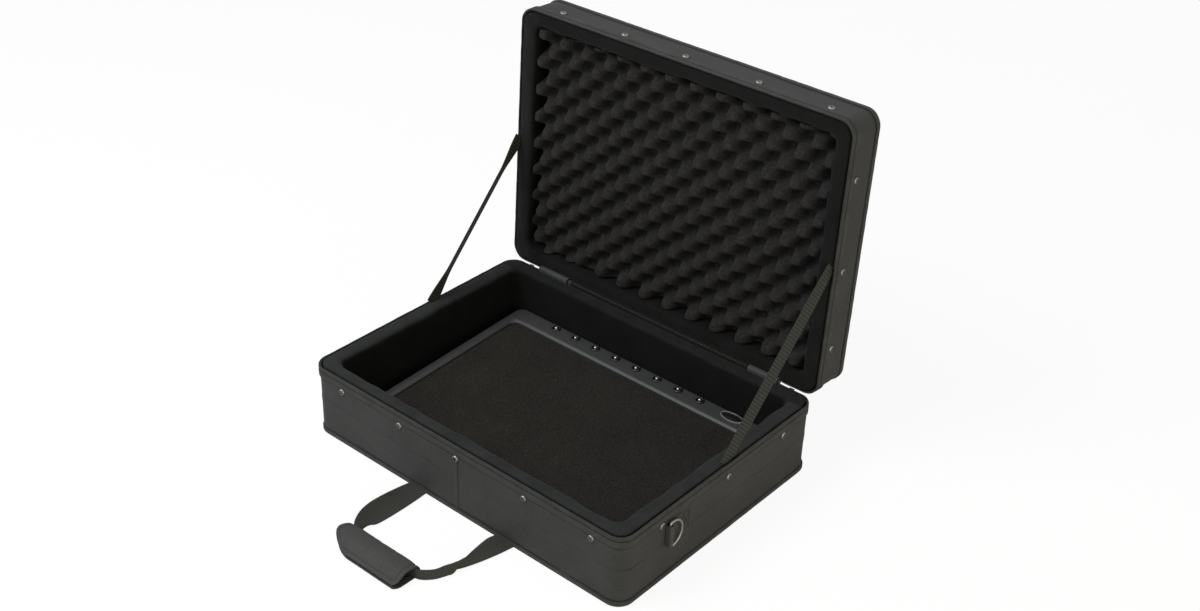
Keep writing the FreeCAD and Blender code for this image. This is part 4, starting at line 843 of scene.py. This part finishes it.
for word, stations in ARMS.items():
    steps = 12 * (len(stations) - 1)
    edges = []
    for edge in range(3):
        line = smooth_path([(*station[edge], index) for index, station in enumerate(stations)], 400)
        wanted = np.linspace(0, len(stations) - 1, steps + 1)
        edges.append(np.array([[np.interp(at, line[:, 3], line[:, axis]) for axis in range(3)]
                               for at in wanted]))
    rows = []
    for outer, crown, inner in zip(*edges):
        reach = np.linalg.norm(outer - inner)
        crisp = min(1, max(0, (30 - reach) / 18)) if word == "right" else 0
        row = []
        for column in range(11):
            share = column / 10
            bowed = (outer * (1 - share) ** 2 + (2 * crown - (outer + inner) / 2) * 2 * share * (1 - share)
                     + inner * share ** 2)
            bent = (outer + (crown - outer) * 2 * share if share < 0.5
                    else crown + (inner - crown) * (2 * share - 1))
            row.append(np.maximum(bowed * (1 - crisp) + bent * crisp, (-math.inf, -math.inf, FLOOR_CLEAR)))
        rows.append(row)
    arm = in_place(webbing(f"front_handle_{word}_arm", rows, 1.9))
    settle(arm, soft_ribs, "base_handle", "handle_webbing", "base_handle_webbing")


# Grip: a padded sleeve wrapped round the webbing, whose bound edges close along the near side.
# The padding swells between the edges, and a row of stitches draws it in 6 mm inside them.
grip_cloth = woven("brushed_grip_cloth", "#3b3b3b", "#4c4c4c", 1.8, 0.8)
SLEEVE = [(-409.5, 2.9), (-403, 2.2), (-394, 2.1), (-385, 2.1), (-376, 2.2), (-369.5, 3.2), (-365.6, 6.2),
          (-364.8, 10.4), (-366.8, 14.6), (-371.5, 17.8), (-378, 19.2), (-385, 19.4), (-391.5, 18),
          (-397.5, 14.8), (-403, 10.6), (-409.5, 6.8)]
SLEEVE_LEFT = [(-412, -34), (-410, -42), (-408.5, -49), (-406, -58.5), (-403, -66), (-399, -73.5), (-394, -81),
               (-390, -85), (-385, -87.5), (-378, -86.5), (-370, -83.5), (-363, -80)]
SLEEVE_RIGHT = [(-412, 46), (-410, 50.5), (-407, 54.5), (-403, 57), (-398, 58), (-363, 58.5)]
SLEEVE_ROWS, SLEEVE_COLUMNS = 72, 88
section = smooth_path([(0, *spot) for spot in SLEEVE], SLEEVE_ROWS + 1)[:, 1:]
lengths = np.concatenate([[0], np.cumsum(np.linalg.norm(np.diff(section, axis=0), axis=1))])
deselect()
bpy.ops.mesh.primitive_grid_add(x_subdivisions=SLEEVE_COLUMNS, y_subdivisions=SLEEVE_ROWS, size=1)
grip = bpy.context.object
grip.name = grip.data.name = "front_handle_grip"
for vertex in grip.data.vertices:
    share, row = vertex.co.x + 0.5, round((vertex.co.y + 0.5) * SLEEVE_ROWS)
    y, z = section[row]
    left, right = (np.interp(y, *zip(*line)) for line in (SLEEVE_LEFT, SLEEVE_RIGHT))
    along = section[min(row + 1, SLEEVE_ROWS)] - section[max(row - 1, 0)]
    outward = Vector((0, along[1], -along[0])).normalized()
    edge = min((right - left) * min(share, 1 - share), lengths[row], lengths[-1] - lengths[row])
    swell = 0.35 * math.sin(math.pi * min(edge, 5) / 5) - 1.1 * math.exp(-((edge - 6.2) / 1.3) ** 2)
    loft = 1.3 + 0.5 * noise.noise(Vector((share * 7, row / 11, 4)))
    swell += loft * (1 - math.exp(-max(0, edge - 6.5) / 6))
    swell += 0.25 * noise.noise(Vector((share * 26, row / 4, 1)))
    if row < 34:
        swell *= 0.3
    vertex.co = Vector((left + (right - left) * share, y, z)) + outward * swell
modify(grip, "SOLIDIFY", thickness=3.2, offset=-1)
modify(grip, "BEVEL", width=1.1, segments=3, limit_method="ANGLE", angle_limit=math.radians(50))
smooth(grip, 60)
settle(in_place(grip), grip_cloth, "base_handle", "grip_cloth", "base_handle_grip")
for vertex in grip.data.vertices:
    vertex.co.z = max(vertex.co.z, 0.2 * MM)


# Second handle: the same webbing without a grip, hanging behind the open lid from its front seam.
# It is sewn in like the first one and hangs straight under its own weight.
loop = [(-93, 0, 0), (-93, -45, 0), (-92, -92, 0), (-84, -124, 0), (-62, -145, 0), (-30, -151, 0),
        (0, -151.5, 0), (30, -151, 0), (62, -145, 0), (84, -124, 0), (92, -92, 0), (93, -45, 0), (93, 0, 0)]
path = smooth_path(loop, 150)
across = []
for index in range(len(path)):
    along = Vector(path[min(index + 1, len(path) - 1)] - path[max(index - 1, 0)]).normalized()
    across.append(Vector((0, 0, 1)).cross(along))
rear = webbing("rear_handle_webbing", across_rows(path, across, 36), 2.2)
rear.data.transform(Matrix.Translation((0, 325.27, 575.6)) @ Matrix.Rotation(math.pi / 2, 4, "X"))
settle(in_place(rear), soft_ribs, "lid_handle", "handle_webbing", "lid_handle_webbing")


# D rings: bare steel wire with a soft grey shine, bent to a D and welded, in a folded webbing tab.
# The tab is sewn flat to the side cloth, and the ring turns in its fold.
WIRE, RING_REACH, RING_WIDTH = 3.7, 27, 44
RING_X, RING_Y, RING_Z = 326, -130, 81
TAB_SEAM = [(-95, 66), (-80, 66), (-80, 97), (-95, 97)]
steel = mottled("brushed_steel_wire", "#7d7d77", "#a5a59e", (5, 3), 0.4, (0.1, 0.1), Metallic=0.75)
tab_ribs = ribbed("pale_tab_webbing", "#3a3a39", "#4c4c4b", 2.6, 0.35)
brown_thread = mottled("faded_brown_thread", "#3c3029", "#4a3c33", (0.8, 1), 0.6, (0.3, 0.1),
                       Specular_IOR_Level=0.2)

for side in (1, -1):
    word = "right" if side > 0 else "left"
    ring = begin(f"{word}_wire_ring", (RING_REACH, RING_WIDTH, 1))
    choose(ring, "verts", lambda vertex: vertex.co.x < 0)
    bpy.ops.mesh.bevel(offset=3.4, affect="VERTICES", segments=5)
    choose(ring, "verts", lambda vertex: vertex.co.x > 10)
    bpy.ops.mesh.bevel(offset=21.4, affect="VERTICES", segments=14)
    bpy.ops.mesh.delete(type="ONLY_FACE")
    bpy.ops.object.mode_set(mode="OBJECT")
    take(ring)
    bpy.ops.object.convert(target="CURVE")
    ring = bpy.context.object
    ring.data.bevel_depth, ring.data.bevel_resolution = WIRE / 2, 4
    bpy.ops.object.convert(target="MESH")
    ring = bpy.context.object
    turned = Matrix(((0, 0, side, side * RING_X), (1, 0, 0, RING_Y + RING_REACH / 2),
                     (0, 1, 0, RING_Z), (0, 0, 0, 1)))
    ring.data.transform(turned)
    bpy.ops.object.mode_set(mode="EDIT")
    closed(ring)
    smooth(ring, 60)
    settle(in_place(ring), steel, f"{word}_ring", "ring_steel", f"{word}_d_ring")

    path = smooth_path([(side * (320.9 - 0.9 * share), -126 + 49 * share, 81.5)
                        for share in (0, 0.3, 0.7, 1)], 40)
    patch = webbing(f"{word}_tab_end", across_rows(path, [(0, 0, 1)] * 40, 38), 1.2)
    settle(in_place(patch), soft_ribs, "base", "handle_webbing")
    thread = one_stitch((0.7, 2.5, 0.8), 0.25)
    box = TAB_SEAM
    places = []
    for start, end in zip(box + [box[0], box[1]], box[1:] + [box[0], box[2], box[3]]):
        run = Vector((0, end[0] - start[0], end[1] - start[1]))
        count = round(run.length / 3.6)
        for number in range(count):
            spot = Vector((side * 321.3, *start)) + run * (number + 0.5) / count
            places.append(Matrix.Translation(spot) @ Matrix.Rotation(math.atan2(run.z, run.y), 4, "X"))
    box_seam = set_out(f"{word}_tab_stitches", thread, places)
    settle(in_place(box_seam), brown_thread, "base", "handle_webbing")

    rows = [(0.9, -3.6), (2.6, -3.6), (4.6, -3.5), (6.3, -3.4), (8.6, -2.9), (9.9, -1.8), (10.3, 0), (9.9, 1.8),
            (8.6, 2.9), (6.3, 3.4), (4.6, 3.5), (2.6, 3.6), (0.9, 3.6)]
    path = smooth_path([(side * (WIDTH / 2 + out), RING_Y + along, RING_Z) for out, along in rows], 40)
    tab = webbing(f"{word}_tab_fold", across_rows(path, [(0, 0, 1)] * 40, 37), 1.3)
    settle(in_place(tab), tab_ribs, "base", "handle_webbing", f"{word}_ring_tab")


# Zip sliders: die cast zinc, painted satin black, with a pull that hangs from a bridge.
# They are parked behind the case, one at either end of the zip.
SLIDER_X, SLIDER_Z, PULL_Y, PULL_Z = 276, 120.6, 232.8, 121.25
zinc = mottled("black_painted_zinc", "#1f1f1f", "#393939", (4, 3), 0.42, (0.1, 0.1), Metallic=0.7)
for side in (1, -1):
    word = "right" if side > 0 else "left"
    x = side * SLIDER_X
    body = begin(f"{word}_slider_body", (9, 2.4, 10), bpy.ops.mesh.primitive_cube_add)
    choose(body, "verts", lambda vertex: vertex.co.z < 0)
    bpy.ops.transform.resize(value=(0.72, 1, 1), center_override=(0, 0, 0))
    bpy.ops.mesh.select_all(action="SELECT")
    bpy.ops.mesh.bevel(offset=0.7, segments=3)
    bpy.ops.transform.translate(value=(x, 230.15, SLIDER_Z))
    bpy.ops.object.mode_set(mode="OBJECT")
    deselect()
    bpy.ops.mesh.primitive_torus_add(location=(x, PULL_Y, SLIDER_Z), rotation=(0, math.pi / 2, 0),
                                     major_radius=1.6, minor_radius=0.42, major_segments=20, minor_segments=8)
    bridge = bpy.context.object
    bpy.ops.object.transform_apply()
    bridge.select_set(True)
    body.select_set(True)
    bpy.context.view_layer.objects.active = body
    bpy.ops.object.join()
    smooth(body, 40)
    settle(in_place(body), zinc, f"{word}_slider", "zip_metal", f"{word}_zip_slider")

    pull = begin(f"{word}_pull_tab", (8, 26, 1))
    bpy.ops.mesh.bevel(offset=2.2, affect="VERTICES", segments=5)
    bpy.ops.mesh.select_all(action="SELECT")
    bpy.ops.mesh.inset(thickness=1.4)
    choose(pull, "faces", lambda face: len(face.verts) > 6)
    bpy.ops.mesh.delete(type="FACE")
    bpy.ops.object.mode_set(mode="OBJECT")
    for vertex in pull.data.vertices:
        if abs(vertex.co.x) < 2.7 and vertex.co.y < 11.3:
            vertex.co.y = max(vertex.co.y, 6.5 + (vertex.co.y + 11.6) * 0.12)
    modify(pull, "SOLIDIFY", thickness=1.25, offset=0)
    modify(pull, "BEVEL", width=0.3, segments=2, limit_method="ANGLE")
    smooth(pull, 40)
    pull.data.transform(Matrix.Translation((x, PULL_Y, PULL_Z - 13)) @ Matrix.Rotation(math.pi / 2, 4, "X"))
    settle(in_place(pull), zinc, f"{word}_pull", "zip_metal", f"{word}_zip_pull")


# Pedal board: one vacuum formed ABS moulding, a wedge with a recess for the carpet and a socket ledge.
# The sheet keeps a fine leather grain.
abs_grain = new_material("grained_abs_sheet")
place = add_node(abs_grain, "TexCoord").outputs["Object"]
pebbles = add_node(abs_grain, "TexVoronoi", [("Vector", place), ("Scale", 1 / (1.8 * MM))],
                   feature="SMOOTH_F1").outputs["Distance"]
dust = grain(abs_grain, place, 30, 4, 0.6)
set_surface(abs_grain, between(abs_grain, dust, "#353637", "#434445"), 0.48, (pebbles, 0.3, 0.15),
            Specular_IOR_Level=0.4)
paint(abs_grain, "deck_bottom_plate")

BOARD_WIDTH, BOARD_DEPTH, BOARD_UNDER, SLOPE = 550, 400, 22.6, 18.4 / 400


def deck_height(y):
    return 40.6 + SLOPE * (y + 199)


moulding = outline("board_moulding", 0, -30, BOARD_WIDTH, BOARD_DEPTH, corner=14)
grow([(0, -30), (0, -9), (-1, -6.6), (-7.4, -0.8), (-9, 0)], BOARD_WIDTH, BOARD_DEPTH)
wide, deep = BOARD_WIDTH - 18, BOARD_DEPTH - 18
for next_wide, next_deep, shift in (
        (512.5, 347.5, (0, -11.4, 0)), (503.2, 338.6, (0, 0, -2.8)), (503.2, 338.6, (0, 0, -5))):
    bpy.ops.mesh.extrude_edges_move(TRANSFORM_OT_translate={"value": shift})
    bpy.ops.transform.resize(value=(next_wide / wide, next_deep / deep, 1), center_override=(0, -11.4, 0))
    wide, deep = next_wide, next_deep
closed(moulding)
for vertex in moulding.data.vertices:
    x, y, z = vertex.co
    y += 1
    vertex.co = (x, y, BOARD_UNDER if z < -29 else deck_height(y) + z)
modify(moulding, "BEVEL", width=1.1, segments=3, limit_method="ANGLE", angle_limit=math.radians(16))
smooth(moulding, 40)
settle(in_place(moulding), abs_grain, "pedal_board", "deck_plastic", "deck_frame")


# Carpet: short looped pile on a hook and loop backing, laid in the board's recess.
# Its brown-black loops stand up unevenly, with a few pale fibres caught in them.
CARPET_WIDTH, CARPET_DEPTH, CARPET_BACK, CARPET_DROP = 499.2, 336.2, -10.5, 3.4
looped = new_material("looped_polypropylene_carpet")
place = add_node(looped, "TexCoord").outputs["Object"]
tufts = add_node(looped, "TexVoronoi", [("Vector", place), ("Scale", 1 / (2.6 * MM))]).outputs["Distance"]
fuzz = grain(looped, place, 2.6, 4, 0.8)
worn = grain(looped, place, 70, 4, 0.6)
pile = add_node(looped, "Math", [(0, tufts), (1, -0.8), (2, fuzz)], operation="MULTIPLY_ADD")
trodden = add_node(looped, "Math", [(0, worn), (1, 0.15)], operation="MULTIPLY")
shade = add_node(looped, "Math", [(0, fuzz), (1, 0.85), (2, trodden.outputs[0])], operation="MULTIPLY_ADD")
spread = add_node(looped, "MapRange", [(0, shade.outputs[0]), (1, 0.34), (2, 0.68)])
lint = add_node(looped, "MapRange", [(0, grain(looped, place, 3.2, 2)), (1, 0.765), (2, 0.8)])
brown = between(looped, spread.outputs[0], "#11100e", "#3a3834")
flecked = add_node(looped, "Mix", [(0, lint.outputs[0]), (6, brown), (7, linear("#8d897c"))], data_type="RGBA")
set_surface(looped, flecked.outputs[2], 0.95, (pile.outputs[0], 1.0, 1.2),
            Specular_IOR_Level=0.1, Sheen_Weight=0.03, Sheen_Roughness=0.5)

carpet = begin("deck_carpet_pile", (CARPET_WIDTH, CARPET_DEPTH, 1), bpy.ops.mesh.primitive_grid_add,
               x_subdivisions=250, y_subdivisions=168)
choose(carpet, "edges", lambda edge: edge.is_boundary)
bpy.ops.mesh.extrude_edges_move(TRANSFORM_OT_translate={"value": (0, 0, -2)})
bpy.ops.mesh.fill()
bpy.ops.object.mode_set(mode="OBJECT")
for vertex in carpet.data.vertices:
    x, y, z = vertex.co
    edge = max(0, 1 - (CARPET_WIDTH / 2 - abs(x)) / 3, 1 - (CARPET_DEPTH / 2 - abs(y)) / 3)
    y += CARPET_BACK
    if z > -1:
        z = 0.4 * noise.noise(Vector((x, y, 0)) / 3.1) + 0.25 * noise.noise(Vector((x, y, 5)) / 30) - edge ** 2
    vertex.co = (x, y, deck_height(y) - CARPET_DROP + z)
bpy.ops.object.mode_set(mode="EDIT")
closed(carpet)
smooth(carpet, 70)
settle(in_place(carpet), looped, "pedal_board", "carpet", "deck_carpet")


# Feet, power sockets and lamp: moulded parts clipped in from below, joined by a circuit strip.
# Each socket is a black barrel mouth with a nickel plated pin, and the lamp is clear red plastic.
SOCKETS, SOCKET_PITCH, FIRST_SOCKET = 8, 44.5, Vector((-176, 183, 58.17))
rubber = mottled("moulded_nitrile_rubber", "#161616", "#212121", (5, 3), 0.8, (0.2, 0.1))
laminate = mottled("epoxy_glass_laminate", "#16351f", "#1f4629", (1, 2), 0.5, (0.2, 0.05))
lens = mottled("clear_red_polycarbonate", "#7a0d0d", "#c22a22", (1.5, 1), 0.2, (0.05, 0.05))
socket_plastic = mottled("moulded_black_abs", "#0b0b0b", "#161616", (3, 2), 0.42, (0.1, 0.05))
nickel = mottled("nickel_plated_pin", "#d2cdc0", "#ebe8df", (1, 2), 0.45, (0.1, 0.05), Metallic=1.0)
for finish, node in ((rubber, "deck_feet"), (laminate, "circuit_strip"), (lens, "power_led")):
    paint(finish, node)


def spun(name, profile, steps):
    """A turned form from (radius, up) points, spun about Z."""
    deselect()
    bpy.ops.mesh.primitive_plane_add(size=1)
    piece = bpy.context.object
    piece.name = piece.data.name = name
    bpy.ops.object.mode_set(mode="EDIT")
    bpy.ops.mesh.delete(type="VERT")
    mesh = bmesh.from_edit_mesh(piece.data)
    points = [mesh.verts.new((radius, 0, up)) for radius, up in profile]
    for start, end in zip(points, points[1:]):
        mesh.edges.new((start, end))
    bmesh.update_edit_mesh(piece.data)
    bpy.ops.mesh.select_all(action="SELECT")
    bpy.ops.mesh.spin(steps=steps, angle=2 * math.pi, center=(0, 0, 0), axis=(0, 0, 1))
    closed(piece)
    return piece


tilt = Matrix.Rotation(math.atan(SLOPE), 4, "X")
socket_places = [Matrix.Translation(FIRST_SOCKET + Vector((SOCKET_PITCH * number, 0, 0))) @ tilt
                 for number in range(SOCKETS)]
BARREL = [(0, -3), (7.9, -3), (8.0, 0.7), (7.7, 1.8), (7.0, 2.6), (6.2, 2.8), (5.5, 2.4), (5.2, 1.6),
          (5.0, 0.3), (0, 0.3)]
PIN = [(0, -1), (2.2, -1), (2.2, 3.2), (2.0, 3.9), (1.2, 4.4), (0, 4.5)]
for name, profile, steps, finish, slot, node in (
        ("socket_barrels", BARREL, 28, socket_plastic, "socket_plastic", "power_sockets"),
        ("socket_centre_pins", PIN, 16, nickel, "pin_brass", "socket_pins")):
    row = set_out(name, spun(f"{name}_pattern", profile, steps), socket_places)
    smooth(row, 50)
    settle(in_place(row), finish, "pedal_board", slot, node)


# Oval plate: a bare enamelled plate with a thin bright rim, stuck on the ledge beside the sockets.
# The enamel is plain black with a soft gloss; the rim is polished through to the metal.
enamel = mottled("black_enamel_plate", "#0f0f10", "#1a1a1b", (4, 2), 0.35, (0.1, 0.05))
rim_metal = mottled("polished_zinc_rim", "#9c9c99", "#c4c4c0", (2, 3), 0.4, (0.1, 0.05), Metallic=0.8)

PLATE_PLACE, PLATE_OVAL = (200.4, 182.3, 58.14), (1, 0.48, 1, 1)
seat = Matrix.Translation(PLATE_PLACE) @ tilt @ Matrix.Diagonal(PLATE_OVAL)
FACE = [(0, -0.5), (19.2, -0.5), (19.2, 0.75), (18.6, 0.95), (0, 1.15)]
RIM = [(19.1, -0.5), (21.2, -0.5), (21.2, 0.9), (20.6, 1.4), (19.6, 1.4), (19.1, 0.9), (19.1, -0.5)]
for name, profile, finish in (("oval_plate_face", FACE, enamel), ("oval_plate_rim", RIM, rim_metal)):
    part = set_out(name, spun(f"{name}_pattern", profile, 56), [seat])
    smooth(part, 50)
    settle(in_place(part), finish, "pedal_board", "deck_plastic")


# Studio: a pale floor that keeps the shadow, a large soft lamp high in front and a warm one at the right.
# The camera stands in front of the right corner and looks down on the open case.
deselect()
bpy.ops.mesh.primitive_plane_add(size=40)
floor = bpy.context.object
floor.name = "studio_floor"
paper = new_material("studio_paper")
seen = add_node(paper, "LightPath").outputs["Is Camera Ray"]
diffuse = add_node(paper, "BsdfDiffuse", [("Color", linear("#f4f4f4"))])
glow = add_node(paper, "Emission", [("Color", (1, 1, 1, 1)), ("Strength", 1.04)])
half_glow = add_node(paper, "MixShader", [(0, 0.88), (1, diffuse.outputs[0]), (2, glow.outputs[0])])
shown = add_node(paper, "MixShader", [(0, seen), (1, diffuse.outputs[0]), (2, half_glow.outputs[0])])
add_node(paper, "OutputMaterial", [("Surface", shown.outputs[0])])
floor.data.materials.append(paper)

world = bpy.data.worlds.new("studio_air")
bpy.context.scene.world = world
world.use_nodes = True
world.node_tree.nodes.clear()
rays = add_node(world, "LightPath")
white = add_node(world, "Background", [("Color", (1, 1, 1, 1)), ("Strength", 1.0)])
fill = add_node(world, "Background", [("Color", (1, 1, 1, 1)), ("Strength", 0.3)])
both = add_node(world, "Math", [(0, rays.outputs["Is Camera Ray"]), (1, rays.outputs["Is Glossy Ray"])],
                operation="MAXIMUM")
mix = add_node(world, "MixShader", [(0, both.outputs[0]), (1, fill.outputs[0]), (2, white.outputs[0])])
add_node(world, "OutputWorld", [("Surface", mix.outputs[0])])

for name, place, size, power, tint in (("key_lamp", (-1.0, -1.7, 2.7), 1.6, 64, "#ffffff"),
                                       ("side_lamp", (2.5, -0.5, 0.45), 1.2, 22, "#fff8d2")):
    lamp = bpy.data.lights.new(name, "AREA")
    lamp.shape, lamp.size, lamp.energy, lamp.color = "SQUARE", size, power, linear(tint)[:3]
    holder = bpy.data.objects.new(name, lamp)
    holder.location = place
    aim = Vector((0, 0.1, 0.15)) - Vector(place)
    holder.rotation_euler = aim.to_track_quat("-Z", "Y").to_euler()
    bpy.context.scene.collection.objects.link(holder)

YAW, PITCH, ROLL = (math.radians(angle) for angle in (40.23, 31.90, 1.55))
BACK, ACROSS, UP = (distance * WIDTH / 635 for distance in (2549, 63.3, 222.6))  # fitted to a case 635 mm wide
right = Vector((math.cos(YAW), math.sin(YAW), 0))
ahead = Vector((-math.sin(YAW) * math.cos(PITCH), math.cos(YAW) * math.cos(PITCH), -math.sin(PITCH)))
above = right.cross(ahead)
rolled_right = right * math.cos(ROLL) + above * math.sin(ROLL)
rolled_up = above * math.cos(ROLL) - right * math.sin(ROLL)
where = (-ahead * BACK + rolled_right * ACROSS + rolled_up * UP) * MM
camera = bpy.data.cameras.new("photo_camera")
FRAME_PIXELS, FOCAL_PIXELS, SENSOR = 1200, 1609.5, 36
camera.sensor_fit, camera.sensor_width = "HORIZONTAL", SENSOR
camera.lens = FOCAL_PIXELS / FRAME_PIXELS * SENSOR
holder = bpy.data.objects.new("photo_camera", camera)
turned = Matrix((rolled_right, rolled_up, -ahead)).transposed().to_4x4()
holder.matrix_world = Matrix.Translation(where) @ turned
bpy.context.scene.collection.objects.link(holder)
bpy.context.scene.camera = holder
bpy.context.scene.view_settings.view_transform = "Standard"
